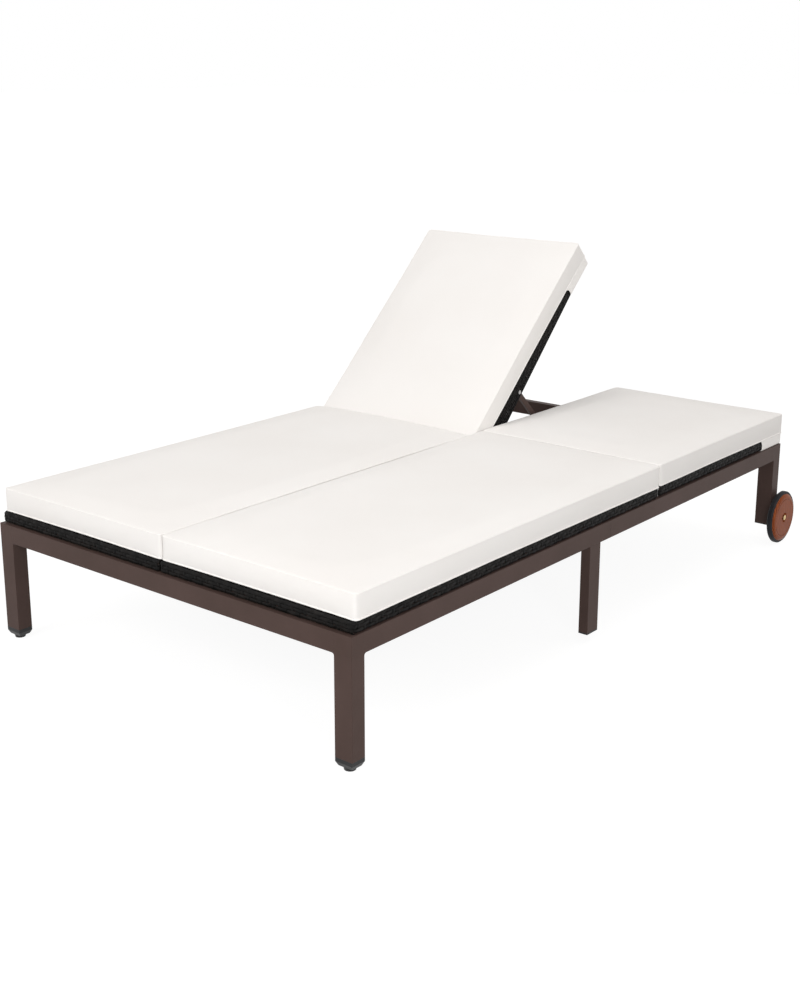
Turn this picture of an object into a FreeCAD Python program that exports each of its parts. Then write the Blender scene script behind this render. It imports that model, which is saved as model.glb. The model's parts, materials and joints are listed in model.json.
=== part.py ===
import FreeCAD, Part
import Sketcher
import math
import os
import re

# Two-person reclining lounger: a low tube frame on four corner legs and two mid legs, two fixed woven
# seat panels, two hinged woven backs with notched props, four cushions and two transport wheels.
# Millimetres. X runs across the lounger, Y from the foot end to the head end, Z up from the floor.

DRIVING = {
    # base frame
    "frame_length": 1980.0,
    "frame_width": 1176.0,
    "frame_top": 306.0,
    "leg_width": 48.0,
    "leg_depth": 40.0,
    "rail_height": 46.0,
    "rail_thickness": 24.0,
    "tube_wall": 1.5,
    "foot_leg_lift": 27.0,
    "head_leg_lift": 57.0,
    "mid_leg_width": 26.0,
    "mid_leg_depth": 48.0,
    "mid_leg_lift": 28.0,
    "mid_leg_reach": 902.0,
    "joint_gap": 0.6,
    "leg_fillet_radius": 6.0,
    "centre_bar_width": 56.0,
    "centre_bar_height": 20.0,
    # connectors inside the side rails
    "sleeve_length": 120.0,
    "sleeve_wall": 2.0,
    "sleeve_clearance": 0.3,
    "joint_bolt_radius": 3.0,
    "joint_bolt_head_radius": 5.5,
    "joint_bolt_head_height": 3.5,
    "joint_bolt_pitch": 60.0,
    "bolt_clearance": 0.05,
    # feet and plugs
    "plug_depth": 14.0,
    "plug_clearance": 0.2,
    "cap_height": 9.0,
    "glide_taper_height": 10.0,
    "glide_taper_inset": 5.0,
    "glide_radius": 15.0,
    "glide_foot_radius": 13.0,
    "mid_plug_height": 4.0,
    "head_plug_height": 3.0,
    # woven panels
    "hinge_reach": 1246.0,
    "hinge_gap": 10.0,
    "foot_ledge": 9.0,
    "head_ledge": 2.0,
    "panel_height": 28.0,
    "weave_thickness": 3.0,
    "panel_tube_width": 24.0,
    "seat_panel_centre_gap": 4.0,
    "seat_panel_side_ledge": 3.0,
    "slat_height": 14.0,
    "slat_wall": 2.0,
    "vent_size": 6.0,
    "back_skirt_depth": 31.0,
    # soft parts
    "soft_clearance": 0.3,
    "pocket_wall": 2.0,
    "cushion_foot_inset": 8.0,
    "cushion_centre_gap": 3.4,
    "cushion_side_ledge": 2.3,
    "cushion_thickness": 60.0,
    "cushion_crown": 5.0,
    "cushion_edge": 6.0,
    "cushion_corner_radius": 11.0,
    "cushion_side_draw": 4.0,
    "cushion_end_gap": 1.5,
    "cushion_head_overhang": 10.0,
    "crown_shoulder": 70.0,
    "crown_plateau": 170.0,
    # hinges
    "knuckle_radius": 4.6,
    "hinge_leaf_thickness": 2.0,
    "hinge_leaf_height": 22.0,
    "hinge_length": 60.0,
    "hinge_pin_radius": 2.5,
    "hinge_pin_end": 2.0,
    "hinge_inner_reach": 100.0,
    "hinge_side_inset": 40.0,
    "knuckle_gap": 0.3,
    "turning_clearance": 0.05,
    # props
    "prop_arm_depth": 16.0,
    "prop_arm_thickness": 8.0,
    "prop_rod_wall": 2.0,
    "prop_gap": 1.0,
    "side_gap": 0.3,
    "lug_thickness": 3.0,
    "lug_length": 32.0,
    "lug_inset": 3.0,
    "pivot_bolt_radius": 4.0,
    "pivot_head_radius": 6.0,
    "pivot_head_height": 3.0,
    "pivot_nut_flats": 13.0,
    "pivot_nut_height": 6.3,
    # notched racks
    "rack_thickness": 6.0,
    "rack_height": 16.0,
    "rack_flange_width": 17.0,
    "rack_flange_thickness": 3.0,
    "rack_arm_gap": 1.2,
    "rack_drop": 3.3,
    "rack_end": 24.0,
    "notch_depth": 7.0,
    "notch_half_width": 10.0,
    # wheels
    "wheel_radius": 80.0,
    "disc_radius": 72.5,
    "disc_thickness": 22.0,
    "hub_radius": 15.0,
    "tyre_width": 16.0,
    "tyre_shoulder": 3.5,
    "tyre_setback": 5.0,
    "axle_setback": 12.0,
    "axle_radius": 5.0,
    "axle_head_radius": 8.0,
    "axle_head_height": 5.0,
    "axle_nut_flats": 17.0,
    "axle_nut_height": 8.0,
    "axle_end": 3.0,
    "spacer_length": 12.0,
    "spacer_radius": 9.0,
    "wheel_end_gap": 0.3,
    "cut_overrun": 5.0,
}

# In degrees: each notch of the racks lifts the back by one step.
ANGLES = {
    "back_step_angle": 14.57,
}

COUNTS = {
    "raised_step_count": 3,
}

# Places along a piece as shares of its length.
SHARES = {
    "joint_share": 0.155,
    "pivot_share": 0.3283,
    "prop_share": 0.3406,
    "pocket_share": 0.1635,
}

DERIVED = {
    "back_raise": "back_step_angle * raised_step_count",
    "half_width": "frame_width / 2",
    "rail_bottom": "frame_top - rail_height",
    "wheel_overhang": "wheel_radius - axle_setback",
    "foot_y": "-(frame_length + wheel_overhang) / 2",
    "head_y": "foot_y + frame_length",
    "hinge_y": "foot_y + hinge_reach",
    "hinge_z": "frame_top + panel_height - hinge_gap / 2",
    "joint_start": "mid_leg_reach + mid_leg_depth + joint_bolt_head_radius",
    "joint_room": "hinge_reach - hinge_gap / 2 - rail_thickness - joint_start",
    "joint_reach": "joint_start + joint_room * joint_share",
    "joint_y": "foot_y + joint_reach",
    "mid_leg_y": "foot_y + mid_leg_reach",
    "hinge_outer_reach": "half_width - hinge_side_inset",
    "axle_y": "head_y - axle_setback",
    "axle_height": "wheel_radius",
    "back_length": "frame_length - hinge_reach",
    "pivot_reach": "back_length * pivot_share",
    "prop_length": "back_length * prop_share",
    "pocket_depth": "back_length * pocket_share",
    "leg_x": "half_width - leg_width",
    "rail_inner_x": "half_width - rail_thickness",
    "hinge_rail_y": "hinge_y - hinge_gap / 2 - rail_thickness",
    "panel_tube_height": "panel_height - 2 * weave_thickness",
    "seat_panel_x": "seat_panel_centre_gap / 2",
    "seat_panel_end_x": "half_width - seat_panel_side_ledge",
    "cushion_x": "cushion_centre_gap / 2",
    "cushion_end_x": "half_width - cushion_side_ledge",
    "back_panel_x": "cushion_x + pocket_wall + soft_clearance",
    "back_panel_end_x": "cushion_end_x - pocket_wall - soft_clearance",
    "back_panel_bottom": "frame_top + pocket_wall + 2 * soft_clearance - hinge_z",
    "back_panel_top": "back_panel_bottom + panel_height",
    "back_panel_length": "frame_length - head_ledge - hinge_reach - hinge_gap / 2",
    "back_panel_end": "hinge_gap / 2 + back_panel_length",
    "seat_panel_length": "hinge_reach - hinge_gap / 2 - foot_ledge",
    "back_cushion_end": "frame_length + cushion_head_overhang - hinge_reach",
    "prop_drop": "-back_panel_bottom + prop_gap + prop_arm_depth / 2",
    "rod_z": "hinge_z - prop_drop",
    "prop_rise": "pivot_reach * sin(back_raise) + prop_drop * (1 - cos(back_raise))",
    "prop_slope": "asin(prop_rise / prop_length)",
    "lug_inner_x": "back_panel_x + lug_inset",
    "lug_outer_x": "back_panel_end_x - weave_thickness - panel_tube_width + lug_thickness",
    "arm_inner_x": "lug_inner_x + lug_thickness + side_gap",
    "arm_outer_x": "lug_outer_x - lug_thickness - side_gap",
    "rack_top": "rod_z - prop_arm_depth / 2 - rack_drop",
    "rack_bottom": "rack_top - rack_height",
    "wheel_x": "half_width + spacer_length + wheel_end_gap",
}

ROOT_PARTS = []
document = FreeCAD.newDocument("lounger")
sheet = document.addObject("Spreadsheet::Sheet", "sizes")


def in_sheet(text):
    """Turns the words of a formula into the cells of the sheet."""
    alias = r"\b(?!sin\b|cos\b|asin\b|sqrt\b|atan\b)[a-z]\w*"
    return re.sub(alias, lambda word: "sizes." + word.group(), text)


def fill_sheet():
    row = 1
    for table in (DRIVING, ANGLES, COUNTS, SHARES):
        for name, value in table.items():
            sheet.set(f"A{row}", name)
            sheet.set(f"B{row}", str(value))
            sheet.setAlias(f"B{row}", name)
            row += 1
    for name, formula in DERIVED.items():
        sheet.set(f"A{row}", name)
        sheet.set(f"B{row}", "=" + formula)
        sheet.setAlias(f"B{row}", name)
        row += 1
    document.recompute()


def size(formula):
    """The value of a formula in the sheet's words, for shapes that are set by hand."""
    words = set(re.findall(r"\b(?!sin\b|cos\b|asin\b|sqrt\b|atan\b)[a-z]\w*", formula))
    values = {word: number(sheet.get(word)) for word in words}
    for word in sorted(words, key=len, reverse=True):
        formula = re.sub(rf"\b{word}\b", f"({values[word]!r})", formula)
    return number(sheet.evalExpression(formula))


def number(value):
    return float(getattr(value, "Value", value))


fill_sheet()


def bind(part, **formulas):
    for prop, formula in formulas.items():
        part.setExpression(prop, in_sheet(formula))


def place(part, x="0", y="0", z="0"):
    for axis, formula in (("x", x), ("y", y), ("z", z)):
        part.setExpression(".Placement.Base." + axis, in_sheet(formula))


def turn(part, angle, axis="x"):
    for name in "xyz":
        part.setExpression(".Placement.Rotation.Axis." + name, "1" if name == axis else "0")
    part.setExpression(".Placement.Rotation.Angle", in_sheet(angle))


def box(x, y, z, size_x, size_y, size_z):
    part = document.addObject("Part::Box", "block")
    bind(part, Length=size_x, Width=size_y, Height=size_z)
    place(part, x, y, z)
    return part


def cylinder(radius, length, x="0", y="0", z="0", along="z"):
    part = document.addObject("Part::Cylinder", "round")
    bind(part, Radius=radius, Height=length)
    place(part, x, y, z)
    if along == "x":
        turn(part, "90", "y")
    elif along == "y":
        turn(part, "-90", "x")
    return part


def cone(first, second, length, x="0", y="0", z="0"):
    part = document.addObject("Part::Cone", "taper")
    bind(part, Radius1=first, Radius2=second, Height=length)
    place(part, x, y, z)
    return part


def hexagon(flats, length, x="0", y="0", z="0"):
    part = document.addObject("Part::Prism", "hexagon")
    part.Polygon = 6
    bind(part, Circumradius=f"{flats} / sqrt(3)", Height=length)
    place(part, x, y, z)
    turn(part, "90", "y")
    return part


def fuse(*parts):
    if len(parts) == 1:
        return parts[0]
    joined = document.addObject("Part::MultiFuse", "joined")
    joined.Shapes = list(parts)
    return joined


def cut(base, *tools):
    result = document.addObject("Part::Cut", "cut")
    result.Base = base
    result.Tool = fuse(*tools)
    return result


def group(*parts):
    """Separate solids of one kind that share a node."""
    together = document.addObject("Part::Compound", "set")
    together.Links = list(parts)
    return together


def mirrored(part):
    """The same piece on the left side of the lounger."""
    twin = document.addObject("Part::Mirroring", "twin")
    twin.Source = part
    twin.Base = (0, 0, 0)
    twin.Normal = (1, 0, 0)
    return twin


def name_part(part, label):
    part.Label = label
    ROOT_PARTS.append(part)
    return part


def both_sides(maker, label):
    """Names a piece made for the right side, and its mirror image."""
    name_part(maker(), label + "_right")
    name_part(mirrored(maker()), label + "_left")


# Base frame: rectangular steel tubes


def tube_along_y(x, y, z, size_x, size_y, size_z, wall="tube_wall"):
    outer = box(x, y, z, size_x, size_y, size_z)
    bore = box(f"{x} + {wall}", f"{y} - cut_overrun", f"{z} + {wall}",
               f"{size_x} - 2 * {wall}", f"{size_y} + 2 * cut_overrun", f"{size_z} - 2 * {wall}")
    return cut(outer, bore)


def tube_along_x(x, y, z, size_x, size_y, size_z, wall="tube_wall"):
    outer = box(x, y, z, size_x, size_y, size_z)
    bore = box(f"{x} - cut_overrun", f"{y} + {wall}", f"{z} + {wall}",
               f"{size_x} + 2 * cut_overrun", f"{size_y} - 2 * {wall}", f"{size_z} - 2 * {wall}")
    return cut(outer, bore)


def corner_leg(y, lift, *holes):
    """A leg tube with a welded top plate, open at its lower end."""
    outer = box("leg_x", y, lift, "leg_width", "leg_depth", f"frame_top - {lift}")
    bore = box("leg_x + tube_wall", f"{y} + tube_wall", f"{lift} - cut_overrun",
               "leg_width - 2 * tube_wall", "leg_depth - 2 * tube_wall",
               f"frame_top - {lift} - tube_wall + cut_overrun")
    return cut(outer, bore, *holes)


def weld_fillet(x, y, size_x, size_y, along):
    """Rounded weld under a rail, in the corner that it makes with the leg."""
    radius = "leg_fillet_radius"
    z = f"rail_bottom - {radius}"
    block = box(x, y, z, size_x, size_y, radius)
    if along == "x":
        length = f"{size_x} + 2 * cut_overrun"
        return cut(block, cylinder(radius, length, f"{x} - cut_overrun", f"{y} + {radius}", z, "x"))
    length = f"{size_y} + 2 * cut_overrun"
    return cut(block, cylinder(radius, length, x, f"{y} - cut_overrun", z, "y"))


def foot_leg():
    tube = corner_leg("foot_y", "foot_leg_lift")
    radius = "leg_fillet_radius"
    under_side_rail = weld_fillet("rail_inner_x", "foot_y + leg_depth", "rail_thickness", radius, "x")
    under_foot_rail = weld_fillet(f"leg_x - {radius}", "foot_y", radius, "rail_thickness", "y")
    return fuse(tube, under_side_rail, under_foot_rail)


def head_leg():
    axle_hole = cylinder("axle_radius + bolt_clearance", "leg_width + 2 * cut_overrun",
                         "leg_x - cut_overrun", "axle_y", "axle_height", "x")
    return corner_leg("head_y - leg_depth", "head_leg_lift", axle_hole)


def mid_leg():
    outer = box("half_width - mid_leg_width", "mid_leg_y", "mid_leg_lift",
                "mid_leg_width", "mid_leg_depth", "rail_bottom - mid_leg_lift")
    bore = box("half_width - mid_leg_width + tube_wall", "mid_leg_y + tube_wall",
               "mid_leg_lift - cut_overrun",
               "mid_leg_width - 2 * tube_wall", "mid_leg_depth - 2 * tube_wall",
               "rail_bottom - mid_leg_lift + 2 * cut_overrun")
    return cut(outer, bore)


JOINT_BOLT_SIDES = ("-", "+")


def joint_bolt_hole(side, radius="joint_bolt_radius + bolt_clearance"):
    return cylinder(radius, "rail_thickness / 2 + cut_overrun", "rail_inner_x - cut_overrun",
                    f"joint_y {side} joint_bolt_pitch / 2", "frame_top - rail_height / 2", "x")


def side_rail_front():
    tube = tube_along_y("rail_inner_x", "foot_y + leg_depth", "rail_bottom",
                        "rail_thickness", "joint_reach - leg_depth", "rail_height")
    return cut(tube, joint_bolt_hole("-"))


def side_rail_rear():
    tube = tube_along_y("rail_inner_x", "joint_y + joint_gap", "rail_bottom", "rail_thickness",
                        "frame_length - joint_reach - joint_gap - leg_depth", "rail_height")
    return cut(tube, joint_bolt_hole("+"))


def rail_sleeve():
    inset = "tube_wall + sleeve_clearance"
    sleeve = tube_along_y(f"rail_inner_x + {inset}", "joint_y - sleeve_length / 2", f"rail_bottom + {inset}",
                          f"rail_thickness - 2 * ({inset})", "sleeve_length", f"rail_height - 2 * ({inset})",
                          "sleeve_wall")
    return cut(sleeve, *[joint_bolt_hole(side) for side in JOINT_BOLT_SIDES])


def joint_bolts():
    bolts = []
    for side in JOINT_BOLT_SIDES:
        y = f"joint_y {side} joint_bolt_pitch / 2"
        z = "frame_top - rail_height / 2"
        shank = cylinder("joint_bolt_radius", "joint_bolt_head_height + rail_thickness / 2",
                         "rail_inner_x - joint_bolt_head_height", y, z, "x")
        head = cylinder("joint_bolt_head_radius", "joint_bolt_head_height",
                        "rail_inner_x - joint_bolt_head_height", y, z, "x")
        bolts.append(fuse(shank, head))
    return bolts


def both_sides_group(maker, label):
    """One node with the pieces of the right side and their mirror images."""
    right = maker()
    left = [mirrored(part) for part in maker()]
    name_part(group(*right, *left), label)


def end_rail(y):
    return tube_along_x("-leg_x", y, "rail_bottom", "2 * leg_x", "rail_thickness", "rail_height")


def cross_rail(y):
    return tube_along_x("-rail_inner_x", y, "rail_bottom",
                        "2 * rail_inner_x", "rail_thickness", "rail_height")


def build_frame():
    name_part(end_rail("foot_y"), "foot_rail")
    name_part(end_rail("head_y - rail_thickness"), "head_rail")
    name_part(cross_rail("mid_leg_y"), "mid_cross_rail")
    name_part(cross_rail("hinge_rail_y"), "hinge_cross_rail")
    centre = tube_along_y("-rail_thickness / 2", "foot_y + rail_thickness", "rail_bottom",
                          "rail_thickness", "mid_leg_reach - rail_thickness", "rail_height")
    name_part(centre, "centre_rail_front")
    bar = tube_along_y("-centre_bar_width / 2", "hinge_rail_y + rail_thickness",
                       "rack_bottom - centre_bar_height", "centre_bar_width",
                       "head_y - hinge_rail_y - 2 * rail_thickness", "centre_bar_height")
    name_part(bar, "centre_rail_rear")
    both_sides(foot_leg, "foot_leg")
    both_sides(head_leg, "head_leg")
    both_sides(mid_leg, "mid_leg")
    both_sides(side_rail_front, "side_rail_front")
    both_sides(side_rail_rear, "side_rail_rear")
    both_sides(rail_sleeve, "rail_sleeve")
    both_sides_group(joint_bolts, "frame_joint_bolts")


# Feet and plugs in the open tube ends


def insert(x, y, z, size_x, size_y, height="plug_depth"):
    """The part of a plug that is pushed up into its tube."""
    inset = "tube_wall + plug_clearance"
    return box(f"{x} + {inset}", f"{y} + {inset}", z,
               f"{size_x} - 2 * ({inset})", f"{size_y} - 2 * ({inset})", height)


def tapered_block(width, depth, inset, height, x, y, z):
    """Block about x and y that gets narrower by the inset on every side towards its lower end."""
    part = document.addObject("Part::Wedge", "taper")
    part.Ymin = 0
    bind(part, Ymax=height,
         Xmin=f"{inset} - {width} / 2", Xmax=f"{width} / 2 - {inset}",
         Zmin=f"{inset} - {depth} / 2", Zmax=f"{depth} / 2 - {inset}",
         X2min=f"-{width} / 2", X2max=f"{width} / 2",
         Z2min=f"-{depth} / 2", Z2max=f"{depth} / 2")
    place(part, x, y, z)
    turn(part, "90")
    return part


def leg_glide():
    """Square cap that tapers to a round glide."""
    x = "half_width - leg_width / 2"
    y = "foot_y + leg_depth / 2"
    cap_bottom = "foot_leg_lift - cap_height"
    foot_height = f"{cap_bottom} - glide_taper_height"
    cap = box("leg_x", "foot_y", cap_bottom, "leg_width", "leg_depth", "cap_height")
    plug = insert("leg_x", "foot_y", "foot_leg_lift", "leg_width", "leg_depth")
    taper = tapered_block("leg_width", "leg_depth", "glide_taper_inset", "glide_taper_height",
                          x, y, foot_height)
    foot = cone("glide_foot_radius", "glide_radius", foot_height, x, y)
    return [fuse(cap, plug, taper, foot)]


def mid_leg_plug():
    x = "half_width - mid_leg_width"
    cap = box(x, "mid_leg_y", "mid_leg_lift - mid_plug_height",
              "mid_leg_width", "mid_leg_depth", "mid_plug_height")
    return [fuse(cap, insert(x, "mid_leg_y", "mid_leg_lift", "mid_leg_width", "mid_leg_depth"))]


def head_leg_plug():
    y = "head_y - leg_depth"
    cap = box("leg_x", y, "head_leg_lift - head_plug_height",
              "leg_width", "leg_depth", "head_plug_height")
    return [fuse(cap, insert("leg_x", y, "head_leg_lift", "leg_width", "leg_depth"))]


def build_feet():
    both_sides_group(leg_glide, "leg_glides")
    both_sides_group(mid_leg_plug, "mid_leg_plugs")
    both_sides_group(head_leg_plug, "head_leg_plugs")


# Woven panels: a welded ring of tubes with cross slats, wrapped in a woven skin


SLAT_SHARES = (0.25, 0.5, 0.75)


def slat(x, y, z, length):
    """Folded channel with its open side down."""
    outer = box(x, y, f"{z} - slat_height", length, "panel_tube_width", "slat_height")
    inside = box(x, f"{y} + slat_wall", f"{z} - slat_height - cut_overrun", length,
                 "panel_tube_width - 2 * slat_wall", "slat_height - slat_wall + cut_overrun")
    return cut(outer, inside)


def panel_frame(x, end_x, y, length, z):
    """Ring of tubes with three slats, vented into one another where they are welded."""
    skin = "weave_thickness"
    tube = "panel_tube_width"
    width = f"({end_x} - ({x}) - 2 * {skin})"
    ring_length = f"({length} - 2 * {skin})"
    near = tube_along_x(f"{x} + {skin}", f"{y} + {skin}", z, width, tube, "panel_tube_height")
    far = tube_along_x(f"{x} + {skin}", f"{y} + {length} - {skin} - {tube}", z,
                       width, tube, "panel_tube_height")
    parts = [near, far]
    vents = []
    for side_x in (f"{x} + {skin}", f"{end_x} - {skin} - {tube}"):
        parts.append(tube_along_y(side_x, f"{y} + {skin} + {tube}", z, tube,
                                  f"{ring_length} - 2 * {tube}", "panel_tube_height"))
        vents.append(box(f"{side_x} + ({tube} - vent_size) / 2", f"{y} + {skin} + tube_wall",
                         f"{z} + (panel_tube_height - vent_size) / 2",
                         "vent_size", f"{ring_length} - 2 * tube_wall", "vent_size"))
    for share in SLAT_SHARES:
        parts.append(slat(f"{x} + {skin} + {tube}", f"{y} + {length} * {share} - {tube} / 2",
                          f"{z} + panel_tube_height", f"{width} - 2 * {tube}"))
    return cut(fuse(*parts), *vents)


def panel_skin(x, end_x, y, length, z, *slots):
    """The weave: a deck on top, sides, and a wrap under the ring's tubes."""
    skin = "weave_thickness"
    rim = "(weave_thickness + panel_tube_width)"
    width = f"({end_x} - ({x}))"
    outer = box(x, y, z, width, length, "panel_height")
    inside = box(f"{x} + {skin}", f"{y} + {skin}", f"{z} + {skin}",
                 f"{width} - 2 * {skin}", f"{length} - 2 * {skin}", "panel_tube_height")
    window = box(f"{x} + {rim}", f"{y} + {rim}", f"{z} - cut_overrun",
                 f"{width} - 2 * {rim}", f"{length} - 2 * {rim}", f"cut_overrun + {skin} + panel_tube_height")
    return cut(outer, inside, window, *slots)


def seat_panel_frame():
    return panel_frame("seat_panel_x", "seat_panel_end_x", "foot_y + foot_ledge", "seat_panel_length",
                       "frame_top + weave_thickness")


def seat_panel_weave():
    return panel_skin("seat_panel_x", "seat_panel_end_x", "foot_y + foot_ledge", "seat_panel_length",
                      "frame_top")


def back_panel_frame():
    return panel_frame("back_panel_x", "back_panel_end_x", "hinge_gap / 2", "back_panel_length",
                       "back_panel_bottom + weave_thickness")


def lug_slot(x):
    return box(x, "pivot_reach - lug_length / 2", "back_panel_bottom - cut_overrun",
               "lug_thickness", "lug_length", "weave_thickness + cut_overrun")


def back_skirt():
    """Woven edge beside the other back, deepest at the hinge, that hides the prop."""
    body = document.addObject("PartDesign::Body", "skirt")
    sketch = sketch_on(body, "YZ_Plane")
    start = "hinge_gap / 2"
    end = "back_panel_end - pocket_depth - soft_clearance"
    outline(sketch, [(start, "back_panel_bottom"), (start, "back_panel_bottom - back_skirt_depth"),
                     (end, "back_panel_bottom")])
    side = body.newObject("PartDesign::Pad", "side")
    side.Profile = sketch
    bind(side, Length="weave_thickness")
    place(body, "back_panel_x")
    return body


def back_panel_weave():
    slots = [lug_slot("lug_inner_x"), lug_slot("lug_outer_x - lug_thickness")]
    skin = panel_skin("back_panel_x", "back_panel_end_x", "hinge_gap / 2", "back_panel_length",
                      "back_panel_bottom", *slots)
    bolt_window = cylinder("pivot_head_radius + side_gap", "weave_thickness + 2 * cut_overrun",
                           "back_panel_x - cut_overrun", "pivot_reach", "-prop_drop", "x")
    return fuse(skin, cut(back_skirt(), bolt_window))


# Backs are made lying flat with their hinge axis at the origin, then turned about it


def on_hinge(part, angle):
    place(part, "0", "hinge_y", "hinge_z")
    if angle != "0":
        turn(part, angle)
    return part


def both_backs(maker, label):
    name_part(on_hinge(maker(), "0"), label + "_right")
    name_part(on_hinge(mirrored(maker()), "back_raise"), label + "_left")


def grouped(maker):
    return lambda: group(*maker())


# Hinges: a fixed leaf on the seat panel, a moving leaf on the back, and a pin


HINGE_PLACES = ("hinge_inner_reach", "hinge_outer_reach")


def hinge_leaf(start, side, knuckles, bore):
    """side is the leaf's inner face; knuckles are (start share, end share, gap before, gap after)."""
    plate = box(start, side, "-hinge_leaf_height", "hinge_length", "hinge_leaf_thickness",
                "hinge_leaf_height - knuckle_radius - knuckle_gap")
    parts = [plate]
    for begin, end, before, after in knuckles:
        x = f"{start} + hinge_length * {begin} + {before} * knuckle_gap"
        length = f"hinge_length * ({end} - {begin}) - ({before} + {after}) * knuckle_gap"
        parts.append(box(x, side, "-hinge_leaf_height / 2",
                         length, "hinge_leaf_thickness", "hinge_leaf_height / 2"))
        parts.append(cylinder("knuckle_radius", length, x, "0", "0", "x"))
    drill = cylinder(bore, "hinge_length + 2 * cut_overrun", f"{start} - cut_overrun", "0", "0", "x")
    return cut(fuse(*parts), drill)


OUTER_KNUCKLE_SHARES = ((0, 1 / 3, 0, 0.5), (2 / 3, 1, 0.5, 0))
MIDDLE_KNUCKLE_SHARES = ((1 / 3, 2 / 3, 0.5, 0.5),)


def fixed_leaves():
    return [hinge_leaf(f"{reach} - hinge_length / 2", "-hinge_gap / 2",
                       OUTER_KNUCKLE_SHARES, "hinge_pin_radius")
            for reach in HINGE_PLACES]


def moving_leaves():
    return [hinge_leaf(f"{reach} - hinge_length / 2", "hinge_gap / 2 - hinge_leaf_thickness",
                       MIDDLE_KNUCKLE_SHARES, "hinge_pin_radius + turning_clearance")
            for reach in HINGE_PLACES]


def hinge_pins():
    return [cylinder("hinge_pin_radius", "hinge_length + 2 * hinge_pin_end",
                     f"{reach} - hinge_length / 2 - hinge_pin_end", "0", "0", "x")
            for reach in HINGE_PLACES]


# Props: two arms on bolts under the back, joined by a rod that sits on the racks


def pivot_lug(x):
    plate = box(x, "pivot_reach - lug_length / 2", "-prop_drop", "lug_thickness", "lug_length",
                "prop_drop + back_panel_bottom + weave_thickness")
    nose = cylinder("lug_length / 2", "lug_thickness", x, "pivot_reach", "-prop_drop", "x")
    below = box(x, "pivot_reach - lug_length / 2", "-prop_drop - lug_length", "lug_thickness", "lug_length",
                "lug_length - prop_arm_depth / 2")
    hole = cylinder("pivot_bolt_radius + turning_clearance", "lug_thickness + 2 * cut_overrun",
                    f"{x} - cut_overrun", "pivot_reach", "-prop_drop", "x")
    above = box(x, "pivot_reach - lug_length / 2", "back_panel_bottom + weave_thickness", "lug_thickness",
                "lug_length", "lug_length")
    return cut(fuse(plate, nose), below, above, hole)


def pivot_lugs():
    return [pivot_lug("lug_inner_x"), pivot_lug("lug_outer_x - lug_thickness")]


def pivot_bolt(head_x, shank_x, nut_x):
    """Round-headed bolt through a lug and an arm, with its nut."""
    length = "pivot_head_height + lug_thickness + 2 * side_gap + prop_arm_thickness + pivot_nut_height"
    shank = cylinder("pivot_bolt_radius", length, shank_x, "pivot_reach", "-prop_drop", "x")
    head = cylinder("pivot_head_radius", "pivot_head_height", head_x, "pivot_reach", "-prop_drop", "x")
    nut = hexagon("pivot_nut_flats", "pivot_nut_height", nut_x, "pivot_reach", "-prop_drop")
    thread = cylinder("pivot_bolt_radius", "pivot_nut_height + 2 * cut_overrun", f"{nut_x} - cut_overrun",
                      "pivot_reach", "-prop_drop", "x")
    return [fuse(shank, head), cut(nut, thread)]


def pivot_bolts():
    inner = pivot_bolt("lug_inner_x - pivot_head_height", "lug_inner_x - pivot_head_height",
                       "arm_inner_x + prop_arm_thickness + side_gap")
    outer_nut = "arm_outer_x - prop_arm_thickness - side_gap - pivot_nut_height"
    outer = pivot_bolt("lug_outer_x", outer_nut, outer_nut)
    return inner + outer


def prop_arm(x):
    """Flat bar with round ends, from its pivot at the origin to the rod."""
    bar = box(x, "0", "-prop_arm_depth / 2", "prop_arm_thickness", "prop_length", "prop_arm_depth")
    eye = cylinder("prop_arm_depth / 2", "prop_arm_thickness", x, "0", "0", "x")
    end = cylinder("prop_arm_depth / 2", "prop_arm_thickness", x, "prop_length", "0", "x")
    hole = cylinder("pivot_bolt_radius + turning_clearance", "prop_arm_thickness + 2 * cut_overrun",
                    f"{x} - cut_overrun", "0", "0", "x")
    return cut(fuse(bar, eye, end), hole)


def prop_arms():
    return group(prop_arm("arm_inner_x"), prop_arm("arm_outer_x - prop_arm_thickness"))


def prop_rod():
    x = "arm_inner_x + prop_arm_thickness"
    length = "arm_outer_x - arm_inner_x - 2 * prop_arm_thickness"
    outer = cylinder("prop_arm_depth / 2", length, x, "prop_length", "0", "x")
    bore = cylinder("prop_arm_depth / 2 - prop_rod_wall", f"{length} + 2 * cut_overrun",
                    f"{x} - cut_overrun", "prop_length", "0", "x")
    return cut(outer, bore)


def both_props(maker, label):
    right = maker()
    place(right, "0", "hinge_y + pivot_reach", "rod_z")
    name_part(right, label + "_right")
    left = mirrored(maker())
    place(left, "0", "hinge_y + pivot_reach * cos(back_raise) + prop_drop * sin(back_raise)",
          "rod_z + prop_rise")
    turn(left, "-prop_slope")
    name_part(left, label + "_left")


# Racks: angle bars with a notch under the rod for each position of the back


def rod_reach(steps):
    """Distance of the rod from the hinge when the back is raised by this many steps."""
    angle = f"(back_step_angle * {steps})"
    rise = f"(pivot_reach * sin({angle}) + prop_drop * (1 - cos({angle})))"
    return (f"(pivot_reach * cos({angle}) + prop_drop * sin({angle})"
            f" + sqrt(prop_length * prop_length - {rise} * {rise}))")


NOTCH_STEPS = (4, 3, 2, 1)


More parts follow.
